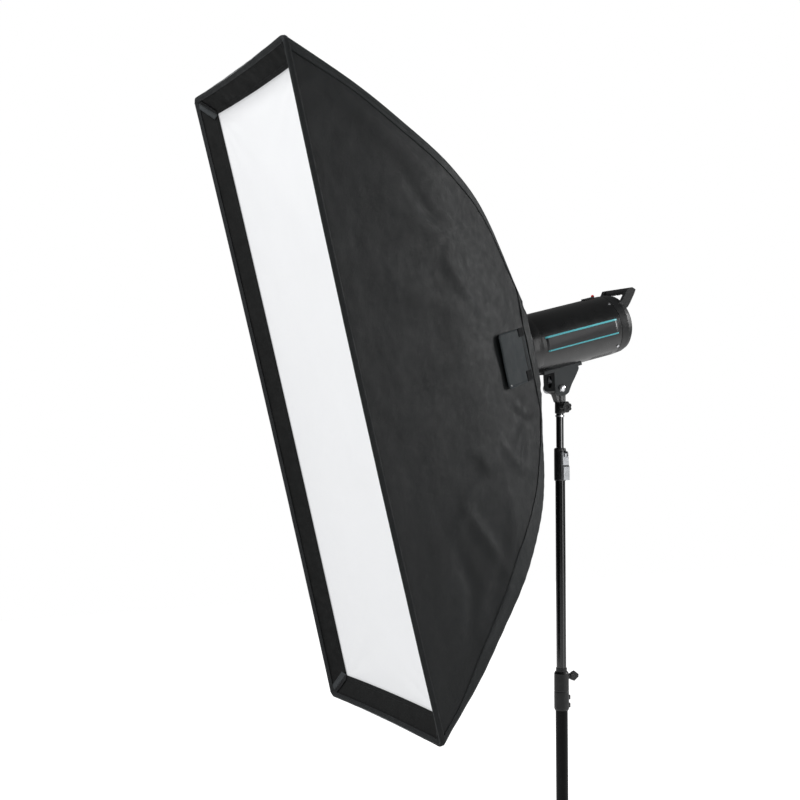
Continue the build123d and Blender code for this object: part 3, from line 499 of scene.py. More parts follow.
MATS = {
    "fabric": dark_cloth(
        "fabric_black_nylon", srgb(26, 28, 29), rough=0.5, sheen=0.05, mottled=0.7),
    "lip": dark_cloth("fabric_lip_nylon", srgb(13, 14, 14), rough=0.8, sheen=0.02),
    "flap": dark_cloth("fabric_flap_nylon", srgb(44, 50, 53), rough=0.6, sheen=0.08),
    "binding": dark_cloth(
        "binding_tape", srgb(27, 29, 30), rough=0.66, sheen=0.08, pitch=0.0016),
    "sleeve": dark_cloth("sleeve_nylon", srgb(33, 36, 37), rough=0.5, sheen=0.06),
    "webbing": dark_cloth(
        "grey_webbing", srgb(58, 61, 63), rough=0.65, sheen=0.2, pitch=0.0024),
    "hook": dark_cloth("hook_tape", srgb(16, 16, 17), rough=0.95, sheen=0.1, pitch=0.0013),
    "thread": thread("sewing_thread", srgb(46, 48, 50)),
    "silver": silver_lining("silver_lining"),
    # glow=0.50 is painted light: the diffuser glows in place of the light that makes it near
    # white
    "diffuser": white_cloth("diffusion_nylon", srgb(180, 181, 182), glow=0.50),
    "baffle": white_cloth("baffle_nylon", srgb(228, 230, 232), glow=0.0),
    "stand_black": paint(
        "gloss_black_paint", srgb(9, 10, 11), rough=0.2, coat=0.4, peel=0.12, wear=0.25),
    "tube_black": paint(
        "gloss_black_tube_paint", srgb(8, 9, 10), rough=0.2, coat=0.4, peel=0.10, wear=0.05,
        tube=True),
    "column_black": paint(
        "satin_black_column_paint", srgb(8, 9, 10), rough=0.3, coat=0.0, peel=0.10, wear=0.05,
        tube=True, specular=0.12),
    "head_black": paint(
        "satin_black_paint", srgb(12, 13, 14), rough=0.31, coat=0.3, peel=0.3, wear=0.12,
        scale=900.0),
    "bracket_slate": paint(
        "slate_texture_paint", srgb(32, 38, 41), rough=0.45, coat=0.0, peel=0.6, wear=0.35,
        scale=600.0),
    "stand_plastic": moulded("moulded_black_nylon", srgb(22, 23, 24), rough=0.42),
    "head_plastic": moulded("moulded_head_plastic", srgb(20, 21, 22), rough=0.4),
    "black_rubber": moulded(
        "black_rubber", srgb(26, 26, 27), rough=0.78, grain=700.0, amount=0.5),
    "button_grey": moulded("grey_button_plastic", srgb(120, 124, 128), rough=0.5),
    "sensor_red": moulded(
        "red_sensor_dome", srgb(214, 34, 22), rough=0.18, grain=300.0, amount=0.05, coat=0.6),
    "display_glass": moulded(
        "display_window", srgb(16, 19, 22), rough=0.08, grain=200.0, amount=0.02, coat=1.0),
    "bright_steel": metal("bright_plated_steel", srgb(214, 215, 218), rough=0.16),
    "lever_aluminium": metal(
        "brushed_aluminium", srgb(168, 170, 173), rough=0.26, brushed=(120, 120, 2400)),
    "cast_aluminium": metal("cast_aluminium", srgb(170, 172, 175), rough=0.45, scale=900.0),
    "rod_steel": metal("spring_steel", srgb(150, 152, 155), rough=0.3, brushed=(900, 60, 60)),
    "brass": metal("brass_rivet", srgb(176, 132, 62), rough=0.3),
    "board_green": moulded("board_laminate", srgb(24, 92, 44), rough=0.4, base=board_tracks),
    "tube_glass": quartz_tube("quartz_tube"),
    "lamp_frosted": frosted_glass("frosted_glass"),
    "cyan": cyan_stripe("cyan_stripe"),
    "band": moulded(
        "label_band", srgb(24, 24, 27), rough=0.36, grain=900.0, amount=0.2, coat=0.2),
    # painted highlight: light grey metal standing in for strong light on the bracket's slate
    # faces
    "bracket_painted_highlight": metal("bracket_painted_highlight_metal", srgb(150, 153, 156), rough=0.38, scale=500.0),
}

# ------------------------------------------------------------------
# materials of the CAD nodes
# ------------------------------------------------------------------
SLOT_MATERIALS = {  # slots whose material has another key
    "fabric_black": "fabric", "lip_black": "lip",
    "diffuser_white": "diffuser", "flap_slate": "flap",
}
NODE_MATERIALS = {  # nodes that don't take their slot's material
    "base_column": "column_black", "middle_tube": "tube_black", "top_tube": "tube_black",
}


def paint_nodes():
    slots = {part["node"]: part["material_slot"] for part in frame["record"]["subparts"]}
    for name, obj in NODES.items():
        slot = slots.get(name, "stand_plastic")
        material = MATS[NODE_MATERIALS.get(name, SLOT_MATERIALS.get(slot, slot))]
        if not obj.material_slots:
            obj.data.materials.append(material)
        for material_slot in obj.material_slots:
            material_slot.material = material


def repaint(node, key, chosen):
    """Gives polygons another material where chosen(centre in u s v, centre, normal) holds."""
    mesh = NODES[node].data
    mesh.materials.append(MATS[key])
    centres = np.array([p.center[:] for p in mesh.polygons])
    normals = np.array([p.normal[:] for p in mesh.polygons])
    for polygon, hit in zip(mesh.polygons, chosen(local_of(centres), centres, normals)):
        if hit:
            polygon.material_index = len(mesh.materials) - 1


def repaint_parts():
    # the sensor's base, below its dome
    repaint("slave_sensor", "head_plastic", lambda local, centre, normal: local[:, 2] < 68.0)
    # a bright ring round the top tube
    repaint("top_tube", "bright_steel", lambda local, centre, normal: (
        (centre[:, 2] > 1.4185) & (centre[:, 2] < 1.4235)
        & (np.hypot(centre[:, 0], centre[:, 1]) > 0.0083)))
    # painted highlight: faces on the low left of the bracket that look to the right, towards the
    # light, take a light grey metal in place of the slate paint, for the strong light falling on
    # them
    repaint("tilt_bracket", "bracket_painted_highlight", lambda local, centre, normal: (
        (local[:, 0] < -15) & (normal[:, 0] > 0.7) & (local[:, 2] < -72)))


# ------------------------------------------------------------------
# shape of the softbox's skin
# ------------------------------------------------------------------
# s, half width u, half height v, corner radius
SECTIONS = np.array([
    (0.0, FRONT_HALF_U, FRONT_HALF_V, FRONT_CORNER),
    (115.0, 230.0, 564.0, 12.0), (205.0, 211.5, 486.0, 12.0), (275.0, 193.5, 423.0, 13.0),
    (330.0, 169.0, 368.5, 14.0), (375.0, 144.0, 316.0, 15.0), (410.0, 122.0, 253.5, 16.0),
    (437.0, 103.8, 181.0, 17.0), (458.0, 90.1, 126.0, 18.0), (S_END, 80.0, 82.0, 18.0),
])
# s, then how far the middle of a side panel and of an end panel is pulled in
SIDE_PULL = ((0, 60, 200, 330, 400, 440, S_END), (10, 11.5, 10, 5, 0, -3, -1))
END_PULL = ((0, 100, 300, 430, S_END), (4, 6, 6, 2, 0))
# folds on a side panel: points (v, s), height outward and width
FOLDS = [
    ([(610, 30), (520, 120), (430, 205), (350, 285)], 6.0, 26),
    ([(640, 60), (560, 130), (470, 215), (400, 270)], -4.4, 16),
    ([(-75, 372), (-100, 395), (-135, 385), (-190, 330)], -5.2, 9),
    ([(-92, 368), (-122, 388), (-160, 372)], 4.4, 12),
    ([(-150, 225), (-190, 250), (-175, 290)], 4.0, 14),
    ([(-300, 120), (-240, 190), (-210, 250)], 4.0, 18),
    ([(-240, 300), (-300, 290), (-360, 250)], 4.8, 20),
    ([(-330, 260), (-400, 215), (-455, 165)], -4.4, 14),
    ([(-420, 250), (-470, 190), (-520, 130)], 4.8, 14),
    ([(-100, 60), (-30, 160), (40, 300)], 3.2, 26),
    ([(220, 70), (150, 190), (90, 330)], 3.6, 28),
    ([(420, 60), (330, 180), (190, 350)], 3.2, 30),
    ([(60, 380), (130, 396), (210, 380)], 3.6, 14),
    ([(180, 430), (110, 452), (60, 462)], 2.8, 9),
    ([(-112, 452), (-150, 440), (-205, 418)], 3.2, 10),
    ([(-74, 340), (-110, 362), (-136, 398), (-142, 440)], -3.4, 7),
    ([(-150, 300), (-205, 330), (-235, 372)], 5.2, 11),
    ([(-245, 330), (-175, 372), (-130, 398)], -5.2, 9),
    ([(-245, 170), (-330, 210), (-400, 240)], 5.2, 13),
    ([(-300, 130), (-400, 150), (-520, 100)], -4.8, 15),
    ([(90, 330), (140, 290), (230, 250)], 4.4, 14),
    ([(250, 300), (300, 240), (380, 190)], -4.8, 12),
]


def smooth_curve(x, y):
    """Monotone cubic curve through the points, without overshoot."""
    h = np.diff(x)
    d = np.diff(y) / h
    slope = np.zeros_like(y)
    for i in range(1, len(x) - 1):
        if d[i - 1] * d[i] > 0:
            w1, w2 = 2 * h[i] + h[i - 1], h[i] + 2 * h[i - 1]
            slope[i] = (w1 + w2) / (w1 / d[i - 1] + w2 / d[i])
    slope[0], slope[-1] = d[0], d[-1]

    def value_at(q):
        q = np.asarray(q, float)
        i = np.clip(np.searchsorted(x, q) - 1, 0, len(h) - 1)
        t = (q - x[i]) / h[i]
        return (
            (2 * t**3 - 3 * t**2 + 1) * y[i] + (t**3 - 2 * t**2 + t) * h[i] * slope[i]
            + (-2 * t**3 + 3 * t**2) * y[i + 1] + (t**3 - t**2) * h[i] * slope[i + 1]
        )

    return value_at


HALF_U = smooth_curve(SECTIONS[:, 0], SECTIONS[:, 1])
HALF_V = smooth_curve(SECTIONS[:, 0], SECTIONS[:, 2])
CORNER = smooth_curve(SECTIONS[:, 0], SECTIONS[:, 3])


def straight_half_u(s):
    """Half width with straight lines between the sections."""
    return np.interp(s, SECTIONS[:, 0], SECTIONS[:, 1])


def fold_height(v, s, left):
    """Height of the folds at points of a side panel; the left panel's are shifted."""
    height = np.zeros_like(v)
    for k, (points, amount, width) in enumerate(FOLDS):
        points = np.array(points, float)
        if left:
            points += ((k * 37) % 29 - 14, (k * 53) % 23 - 11)
        nearest = np.full(v.shape, 1e9)
        along = np.zeros_like(v)
        total = np.linalg.norm(np.diff(points, axis=0), axis=1).sum()
        run = 0.0
        for start, end in zip(points, points[1:]):
            d = end - start
            length = np.linalg.norm(d)
            t = ((v - start[0]) * d[0] + (s - start[1]) * d[1]) / length**2
            t = np.clip(t, 0, 1)
            distance = np.hypot(v - start[0] - t * d[0], s - start[1] - t * d[1])
            nearer = distance < nearest
            along = np.where(nearer, (run + t * length) / total, along)
            nearest = np.where(nearer, distance, nearest)
            run += length
        fade = np.sin(np.pi * np.clip(along, 0.02, 0.98)) ** 0.7
        height += amount * fade * np.exp(-((nearest / width) ** 2))
    return height


def section_lengths(s):
    """Lengths of the parts of a section: half the right side, then corners and sides
    in turn through the upper, left and lower sides, to the right side's lower half."""
    flat_u, flat_v = HALF_U(s) - CORNER(s), HALF_V(s) - CORNER(s)
    quarter = np.pi * CORNER(s) / 2
    return [
        flat_v, quarter, 2 * flat_u, quarter, 2 * flat_v, quarter, 2 * flat_u, quarter, flat_v,
    ]


def section_point(s, p):
    """Point and outward direction at arc length p round the section, from the middle
    of the right side, upwards."""
    a, b, r = HALF_U(s), HALF_V(s), CORNER(s)
    lengths = section_lengths(s)
    p = np.mod(p, sum(lengths))
    u, v, out_u, out_v = (np.zeros_like(p) for _ in range(4))
    start = 0.0
    for k, length in enumerate(lengths):
        t = p - start
        if k % 2:
            sign_u, sign_v = CORNERS[k // 2]
            angle = (k // 2) * np.pi / 2 + t / r
            part_out_u, part_out_v = np.cos(angle), np.sin(angle)
            part_u = sign_u * (a - r) + r * part_out_u
            part_v = sign_v * (b - r) + r * part_out_v
        else:
            part_out_u, part_out_v = SIDES[(k // 2) % 4]
            part_u, part_v = {
                0: (a, t), 2: (a - r - t, b), 4: (-a, b - r - t), 6: (-a + r + t, -b),
                8: (a, -b + r + t),
            }[k]
        inside = (t >= 0) & (t <= length + 1e-9)
        u = np.where(inside, part_u, u)
        v = np.where(inside, part_v, v)
        out_u = np.where(inside, part_out_u, out_u)
        out_v = np.where(inside, part_out_v, out_v)
        start = start + length
    return u, v, out_u, out_v


def skin_height(s, u, v, out_u, out_v):
    """Outward height of the cloth over the plain sections."""
    on_side = np.abs(out_u) > 0.9
    on_end = np.abs(out_v) > 0.9
    rel_u = np.clip(np.abs(u) / HALF_U(s), 0, 1)
    rel_v = np.clip(np.abs(v) / HALF_V(s), 0, 1)
    height = np.where(on_side, -np.interp(s, *SIDE_PULL) * (1 - rel_v**2), 0)
    height = height + np.where(on_end, -np.interp(s, *END_PULL) * (1 - rel_u**2), 0)

    # detail dies out at the ridges and the front edge, and lessens at the neck
    front_fade = smooth_step(s, 0, 24)
    side_fade = smooth_step(1 - rel_v, 0.0, 0.09) * front_fade
    side_fade = side_fade * (1 - 0.6 * smooth_step(s, 455, S_END))
    end_fade = smooth_step(1 - rel_u, 0.0, 0.12)
    # and within 18 mm of the flaps
    from_flap = np.maximum.reduce(
        [FLAP_S[0] - s, s - FLAP_S[1], FLAP_V[0] - v, v - FLAP_V[1]])
    quiet = 1 - smooth_step(18 - from_flap, 0, 18)

    for left, panel in ((False, on_side & (out_u > 0)), (True, on_side & (out_u < 0))):
        height = height + np.where(panel, fold_height(v, s, left) * side_fade * quiet, 0)
    points = np.c_[u.ravel(), s.ravel(), v.ravel()]
    broad = fractal(points, scale=85.0, seed=1, octaves=4).reshape(s.shape)
    fine = fractal(points * (1, 1.6, 0.8), scale=34.0, seed=2, octaves=3).reshape(s.shape)
    creases = broad * 1.1 + fine * 0.35
    fade = np.where(on_end, end_fade, side_fade) * front_fade
    ripples = 0.78 * np.sin(s / 17.0 + 1.2 * np.sin(u / 60.0))
    ripples = ripples * smooth_step(s, 60, 200) * (1 - rel_u**2)
    height = height + creases * np.where(on_side, quiet, 1) * np.maximum(fade, 0.15)
    return height + np.where(on_end, ripples, 0)


def slope_at(curve, s):
    before, after = np.maximum(s - 0.5, 0), np.minimum(s + 0.5, S_END)
    return (curve(after) - curve(before)) / (after - before)


def skin(s, p, lift=0.0):
    """Points (u, s, v) of the cloth's outside, lifted by some mm."""
    u, v, out_u, out_v = section_point(s, p)
    height = skin_height(s, u, v, out_u, out_v) + lift
    out_s = -(np.abs(out_u) * slope_at(HALF_U, s) + np.abs(out_v) * slope_at(HALF_V, s))
    length = np.sqrt(out_u**2 + out_v**2 + out_s**2)
    return np.stack([
        u + height * out_u / length, s + height * out_s / length, v + height * out_v / length,
    ], -1)


def build_shell():
    """The cloth skin, silver inside, with an opening under each flap."""
    hole_s = (FLAP_S[0] + OPENING_INSET, FLAP_S[1] - OPENING_INSET)
    hole_v = (FLAP_V[0] + OPENING_INSET, FLAP_V[1] - OPENING_INSET)
    # closer together towards the neck, plus the opening's edges and two by the front
    spread = S_END * (1 - (1 - np.linspace(0, 1, 92)) ** 1.35)
    stations = np.unique(np.round(np.concatenate([spread, (*hole_s, 2.0, 6.0)]), 3))
    columns = []
    start = 0.0
    for length, count in zip(section_lengths(stations), (40, 6, 34, 6, 80, 6, 34, 6, 40)):
        columns += [start + t * length for t in np.linspace(0, 1, count, endpoint=False)]
        start = start + length
    p = np.stack(columns, 1)
    local = skin(np.repeat(stations[:, None], p.shape[1], 1), p)
    following = np.roll(local, -1, 1)
    centre = (local[:-1] + following[:-1] + following[1:] + local[1:]) / 4
    u, s, v = np.moveaxis(centre, -1, 0)
    hole = (np.abs(u) > 60) & (np.abs(np.abs(u) - HALF_U(s)) < 12)
    hole &= (hole_s[0] < s) & (s < hole_s[1]) & (hole_v[0] < v) & (v < hole_v[1])
    uv = np.stack([run_length(local) / 1000.0, p / 1000.0], -1)
    shell = grid_mesh(
        "softbox_shell", world(local), uv, wrap=True, flip=True, keep=(~hole).ravel())
    finish_sheet(shell, ["fabric", "silver"], 0.0011, -1.0, replaces="fabric_shell", inner=1)


# ------------------------------------------------------------------
# stitches
# ------------------------------------------------------------------
STITCH_PITCH, STITCH_LENGTH, STITCH_WIDTH = 0.0048, 0.0033, 0.0008  # metres
STITCHES = {}  # body: list of (positions, directions, normals) in metres


def unit_rows(vectors):
    return vectors / np.maximum(np.linalg.norm(vectors, axis=1, keepdims=True), 1e-12)


def stitch_line(path, normals, lift, body="softbox"):
    """Collects stitches along a polyline in metres, lifted along its normals."""
    path = path + normals * lift
    run = run_length(path)
    at = (np.arange(int(run[-1] / STITCH_PITCH)) + 0.5) * STITCH_PITCH

    def sample(values, where):
        return np.stack([np.interp(where, run, values[:, i]) for i in range(3)], -1)

    direction = sample(path, at + 0.0005) - sample(path, at - 0.0005)
    STITCHES.setdefault(body, []).append(
        (sample(path, at), unit_rows(direction), unit_rows(sample(normals, at))))


def build_stitches():
    """One mesh per body; each stitch is a four-sided thread, thin at its ends."""
    for body, lines in STITCHES.items():
        verts, faces = [], []
        for positions, directions, normals in lines:
            sideways = np.cross(directions, normals)
            for position, along, up, side in zip(positions, directions, normals, sideways):
                base = len(verts)
                for fraction, size in ((-0.5, 0.35), (-0.25, 1.0), (0.25, 1.0), (0.5, 0.35)):
                    centre = position + along * (STITCH_LENGTH * fraction)
                    half_side = side * STITCH_WIDTH * 0.5 * size
                    verts += [
                        centre - half_side, centre + up * STITCH_WIDTH * 0.55 * size,
                        centre + half_side, centre - up * STITCH_WIDTH * 0.3,
                    ]
                for ring in range(3):
                    for edge in range(4):
                        a = base + ring * 4 + edge
                        b = base + ring * 4 + (edge + 1) % 4
                        faces.append((a, b, b + 4, a + 4))
                faces.append((base + 3, base + 2, base + 1, base))
                faces.append((base + 12, base + 13, base + 14, base + 15))
        obj = make_mesh(f"stitches_{body}", verts, faces)
        obj.data.materials.append(MATS["thread"])
        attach(obj, body)


# ------------------------------------------------------------------
# rod sleeves: a band sewn over each ridge, wide on the lower ridges, with a raised
# bead along the ridge
# ------------------------------------------------------------------
# s, then the sleeve's width on the side panel
LOWER_SLEEVE = ((0, 54, 79, 145, 224, 281, 400, 440, S_END), (13, 13, 19, 37, 43, 54, 46, 30, 18))
UPPER_SLEEVE = ((0, 120, 300, 430, S_END), (20, 18, 21, 20, 16))
# cross-section, from the edge on the side panel to the edge on the end panel
SLEEVE_SIDE = np.array([1.0, 0.985, 0.94, 0.80, 0.62, 0.45])  # parts of the width
SLEEVE_SIDE_LEAST = 7.6 + 0.4 * np.arange(6)[::-1]
SLEEVE_BEAD_END = np.array([7, 4.5, 2, 0, -2, -4.5, -7, -12, -16.5, -18])
SLEEVE_LIFT = np.array(
    [0.2, 1.3, 1.6, 1.7, 1.7, 1.8, 2.2, 3.6, 4.8, 5.2, 4.8, 3.6, 2.2, 1.7, 1.3, 0.2])


def build_sleeves():
    s = np.linspace(3, 467, 150)[:, None]
    for k, tag in enumerate(("upper_right", "upper_left", "lower_left", "lower_right")):
        width = np.interp(s, *(LOWER_SLEEVE if k > 1 else UPPER_SLEEVE)) - 3.0
        side = np.maximum(width * SLEEVE_SIDE, SLEEVE_SIDE_LEAST)
        offsets = np.concatenate([side, np.repeat(SLEEVE_BEAD_END[None], len(s), 0)], 1)
        if k in (0, 2):  # the side panel lies before the corner
            offsets, lift, seams = -offsets, SLEEVE_LIFT, (2, 14)
        else:
            offsets, lift, seams = offsets[:, ::-1], SLEEVE_LIFT[::-1], (1, 13)
        grid_s = np.repeat(s, offsets.shape[1], 1)
        lengths = section_lengths(grid_s)
        corner_middle = sum(lengths[:2 * k + 1]) + lengths[2 * k + 1] / 2
        p = corner_middle + offsets
        uneven = 1 + 0.06 * np.sin(grid_s / 23.0 + k) + 0.05 * np.sin(grid_s / 9.0 + p / 11.0)
        grid = skin(grid_s, p, lift[None, :] * uneven)
        points = loft_strip(f"rod_sleeve_{tag}", grid, "sleeve", 0.0006, offset=1.0)
        normals = normals_of(points)
        for column in seams:
            stitch_line(points[:, column], normals[:, column], lift=0.0006)


# ------------------------------------------------------------------
# front edge and lip
# ------------------------------------------------------------------
def rounded_loop(half_u, half_v, radius):
    """Points (u, v) and outward directions round a rectangle with rounded corners."""
    flat_u, flat_v = half_u - radius, half_v - radius
    sides = (
        ((half_u, -flat_v), (half_u, flat_v), 90), ((flat_u, half_v), (-flat_u, half_v), 36),
        ((-half_u, flat_v), (-half_u, -flat_v), 90), ((-flat_u, -half_v), (flat_u, -half_v), 36),
    )
    points, outward = [], []
    for k, (start, end, count) in enumerate(sides):
        start, end = np.array(start), np.array(end)
        points += [start + (end - start) * t for t in np.linspace(0, 1, count, endpoint=False)]
        outward += [SIDES[k]] * count
        sign_u, sign_v = CORNERS[k]
        for t in np.linspace(0, 1, 7, endpoint=False):
            angle = k * np.pi / 2 + t * np.pi / 2
            out_u, out_v = np.cos(angle), np.sin(angle)
            points.append((sign_u * flat_u + radius * out_u, sign_v * flat_v + radius * out_v))
            outward.append((out_u, out_v))
    return np.array(points), np.array(outward)


def front_loop(inset=0.0, radius=FRONT_CORNER):
    """The softbox's front edge, bowed inward."""
    points, outward = rounded_loop(FRONT_HALF_U - inset, FRONT_HALF_V - inset, radius)
    bow = np.array(FRONT_BOW) * (1 - (points[:, ::-1] / (FRONT_HALF_V, FRONT_HALF_U)) ** 2)
    return points - np.abs(outward) ** 4 * bow * outward, outward


def lip_loop(grow, radius):
    """The lip's inner edge, grown by some mm and bowed inward."""
    half_u, half_v = LIP_HALF_U + grow, LIP_HALF_V + grow
    points, outward = rounded_loop(half_u, half_v, radius)
    weight = np.abs(outward) ** 4 * outward * LIP_BOW
    points[:, 0] -= weight[:, 0] * (1 - (points[:, 1] / half_v) ** 2)
    points[:, 1] -= weight[:, 1] * (1 - (points[:, 0] / half_u) ** 2)
    return points


def flat_points(loop):
    return np.c_[loop, np.zeros(len(loop))]


def build_edge_binding():
    """Binding tape round the front edge."""
    # outward from the edge, s
    profile = np.array([
        (-1.2, 9.0), (0.2, 8.6), (1.2, 6), (1.6, 3), (1.5, 0.5), (0.9, -1.0), (-0.4, -1.6),
        (-2.2, -1.2), (-5.0, 0.8), (-7.5, 2.8), (-8.0, 3.6),
    ])
    loop, outward = front_loop()
    wave = fractal(flat_points(loop), scale=40.0, seed=5, octaves=2) * 0.5
    out = profile[:, :1] + wave
    grid = np.zeros((len(profile), len(loop), 3))
    grid[:, :, 0] = loop[:, 0] + outward[:, 0] * out
    grid[:, :, 1] = profile[:, 1:]
    grid[:, :, 2] = loop[:, 1] + outward[:, 1] * out
    points = world(grid)
    uv = uv_grid(run_length(points[0])[None, :], run_length(profile)[:, None] / 1000)
    obj = grid_mesh("edge_binding", points, uv, wrap=True)
    finish_sheet(obj, ["binding"], 0.0007, 1.0)
    normals = normals_of(points, wrap=True)
    for row in (2, 8):
        stitch_line(points[row], normals[row], lift=0.0009)


def build_lip():
    """Cloth that slopes back and in from the front edge to the diffuser."""
    rows = 12
    front_s = 1.2
    outer, _ = front_loop(inset=2.0, radius=11.0)
    inner = lip_loop(grow=0.0, radius=LIP_CORNER)
    fine = fractal(flat_points(outer), scale=24.0, seed=8, octaves=3)
    broad = fractal(flat_points(outer), scale=70.0, seed=9, octaves=2)
    t = np.linspace(0, 1, rows)[:, None]
    grid = np.zeros((rows, len(outer), 3))
    grid[:, :, 0] = outer[:, 0] * (1 - t) + inner[:, 0] * t
    grid[:, :, 1] = (
        front_s + (LIP_S - front_s) * t
        + np.sin(np.pi * t) * (1.6 + 1.5 * fine + 1.5 * broad) + t * 0.5 * fine
    )
    grid[:, :, 2] = outer[:, 1] * (1 - t) + inner[:, 1] * t
    points = world(grid)
    uv = uv_grid(run_length(points[0])[None, :], np.linspace(0, 0.05, rows)[:, None])
    obj = grid_mesh("front_lip_cloth", points, uv, wrap=True)
    finish_sheet(obj, ["lip"], 0.0009, 0.0, slot="lip_black", replaces="front_lip")
    seam = rows - 3
    normals = normals_of(points, wrap=True)[seam]
    for side in (-1, 1):
        stitch_line(points[seam], side * normals, lift=0.0008)


def build_lip_tape():
    """Hook tape just behind the lip's inner edge."""
    outer = lip_loop(grow=10, radius=6.0)
    inner = lip_loop(grow=0.5, radius=LIP_CORNER)
    grid = np.zeros((3, len(inner), 3))
    for i, t in enumerate((0.0, 0.5, 1.0)):
        grid[i, :, [0, 2]] = (outer * (1 - t) + inner * t).T
        grid[i, :, 1] = LIP_S + 1.0 + 0.2 * np.sin(np.pi * t)
    loft_strip("lip_hook_tape", grid, "hook", 0.0005, offset=1.0, wrap=True)


# ------------------------------------------------------------------
# front diffuser and inner baffle
# ------------------------------------------------------------------
def build_sheet(name, half_u, half_v, middle_s, bulge, material, replaces, seed, count_u,
                count_v, wrinkle, bow):
    """A sheet pulled at its corners; bulge is how far its middle stands forward."""
    rel_u, rel_v = np.meshgrid(
        np.linspace(-1, 1, count_u), np.linspace(-1, 1, count_v), indexing="ij")
    u = rel_u * (half_u - bow[0] * (1 - rel_v**2))
    v = rel_v * (half_v - bow[1] * (1 - rel_u**2))
    inside = (1 - rel_u**4) * (1 - rel_v**4)
    points = np.c_[u.ravel(), np.zeros(u.size), v.ravel()]
    long_folds = fractal(points * (1.0, 1, 0.35), scale=60.0, seed=seed, octaves=3)
    broad = fractal(points, scale=160.0, seed=seed + 3, octaves=2)
    pull = np.zeros_like(u)  # folds that fan out from the corners
    for side_u in (-1, 1):
        for side_v in (-1, 1):
            du, dv = side_u * half_u - u, side_v * half_v - v
            distance = np.hypot(du, dv) + 1e-6
            angle = np.arctan2(np.abs(dv), np.abs(du))
            fan = np.exp(-distance / 170.0) * np.sin(angle * 17.0)
            pull += fan * smooth_step(distance, 6, 60)
    s = (
        middle_s - bulge * (1 - rel_u**2) * (1 - rel_v**6)
        + wrinkle * inside * (0.9 * long_folds + 1.3 * broad).reshape(u.shape)
        + wrinkle * 1.1 * pull
    )
    uv = np.stack([u / 1000, v / 1000], -1)
    obj = grid_mesh(name, world(np.stack([u, s, v], -1)), uv)
    finish_sheet(obj, [material], 0.0006, 0.0, slot="diffuser_white", replaces=replaces)


def build_sheets():
    build_sheet(
        "front_diffuser_cloth", half_u=219.0, half_v=615.0, middle_s=30.6, bulge=4.5,
        material="diffuser", replaces="front_diffuser", seed=11, count_u=64, count_v=150,
        wrinkle=1.0, bow=LIP_BOW)
    build_sheet(
        "inner_baffle_cloth", half_u=160.0, half_v=440.0, middle_s=190.7, bulge=2.0,
        material="baffle", replaces="inner_baffle", seed=21, count_u=40, count_v=100,
        wrinkle=0.8, bow=(10, 14))


def build_baffle_straps():
    """Straps from the baffle's corners to the ridges."""
    ridge_s = 206.0
    t = np.linspace(0, 1, 14)[:, None]
    for side_u, tag_u in ((1, "r"), (-1, "l")):
        for side_v, tag_v in ((1, "u"), (-1, "d")):
            start = np.array([155.0 * side_u, 191.0, 432.0 * side_v])
            end = np.array([
                (HALF_U(ridge_s) - 4) * side_u, ridge_s, (HALF_V(ridge_s) - 6) * side_v])
            middle = start + (end - start) * t + np.array([0, 4.0, 0]) * np.sin(np.pi * t)
            sideways = np.cross(end - start, (0, 1, 0))
            sideways /= np.linalg.norm(sideways)
            grid = np.stack([middle + sideways * offset for offset in (-6, -2, 2, 6)], 1)
            loft_strip(f"baffle_strap_{tag_u}{tag_v}", grid, "binding", 0.0012, offset=0.0)


# ------------------------------------------------------------------
# neck and corner straps
# ------------------------------------------------------------------
def build_neck():
    """Hem round the skin's rear end, closing in on a ring."""
    ring_radius = 70.5
    s = np.linspace(450, S_END, 9)[:, None]
    round_p = np.linspace(0, 1, 120, endpoint=False)[None, :]
    p = round_p * sum(section_lengths(s))
    hem = skin(np.repeat(s, p.shape[1], 1), p, 1.6 + 0.5 * np.sin(p / 9.0))
    tail = hem[-1]
    angle = np.arctan2(tail[:, 2], tail[:, 0])
    rows = [hem]
    for t in (0.12, 0.3, 0.55, 0.8, 1.0):
        u = tail[:, 0] * (1 - t) + ring_radius * np.cos(angle) * t
        v = tail[:, 2] * (1 - t) + ring_radius * np.sin(angle) * t
        gathers = 0.7 * np.sin(angle * 26) * np.sin(np.pi * t)
        row_s = S_END + 5.0 * np.sin(min(1.0, t * 1.15) * np.pi / 2) + gathers
        rows.append(np.stack([u, row_s, v], -1)[None])
    points = loft_strip(
        "neck_sleeve", np.concatenate(rows), "fabric", 0.0010, offset=1.0, wrap=True)
    normals = normals_of(points, wrap=True)
    for row in (1, 6):
        stitch_line(points[row], normals[row], lift=0.0014)


def build_corner_strap(side_u, side_v, tag):
    """A strap along the lip's mitre, half of it grey webbing and half hook tape."""
    outer, inner = np.array([246.0, 645.5]), np.array([208.0, 605.0])  # its ends, (u, v)
    along = (inner - outer) / np.linalg.norm(inner - outer)
    t = np.linspace(0, 1, 22)[:, None]
    taper = np.minimum(1.0, 0.55 + 2.5 * t)
    for part, low, high, material in (
        ("grey", 0.0, 10.5, "webbing"), ("hook", -10.5, -0.4, "hook"),
    ):
        offset = np.linspace(low, high, 9)[None, :]
        u = outer[0] + (inner[0] - outer[0]) * t - along[1] * offset * taper
        v = outer[1] + (inner[1] - outer[1]) * t + along[0] * offset * taper
        depth = LIP_S * np.minimum(
            (FRONT_HALF_U - u) / (FRONT_HALF_U - LIP_HALF_U),
            (FRONT_HALF_V - v) / (FRONT_HALF_V - LIP_HALF_V))
        s = depth - 2.2 + 0.4 * np.sin(9 * t + 0.3 * offset)
        grid = np.stack([side_u * u, s, side_v * v], -1)
        points = loft_strip(f"corner_strap_{part}_{tag}", grid, material, 0.0010, offset=0.0)
        normals = normals_of(points)
        if normals[11, 4] @ BACK >= 0:  # turn them to the front
            normals = -normals
        for column in (1, 7):
            stitch_line(points[:, column], normals[:, column], lift=0.0007)


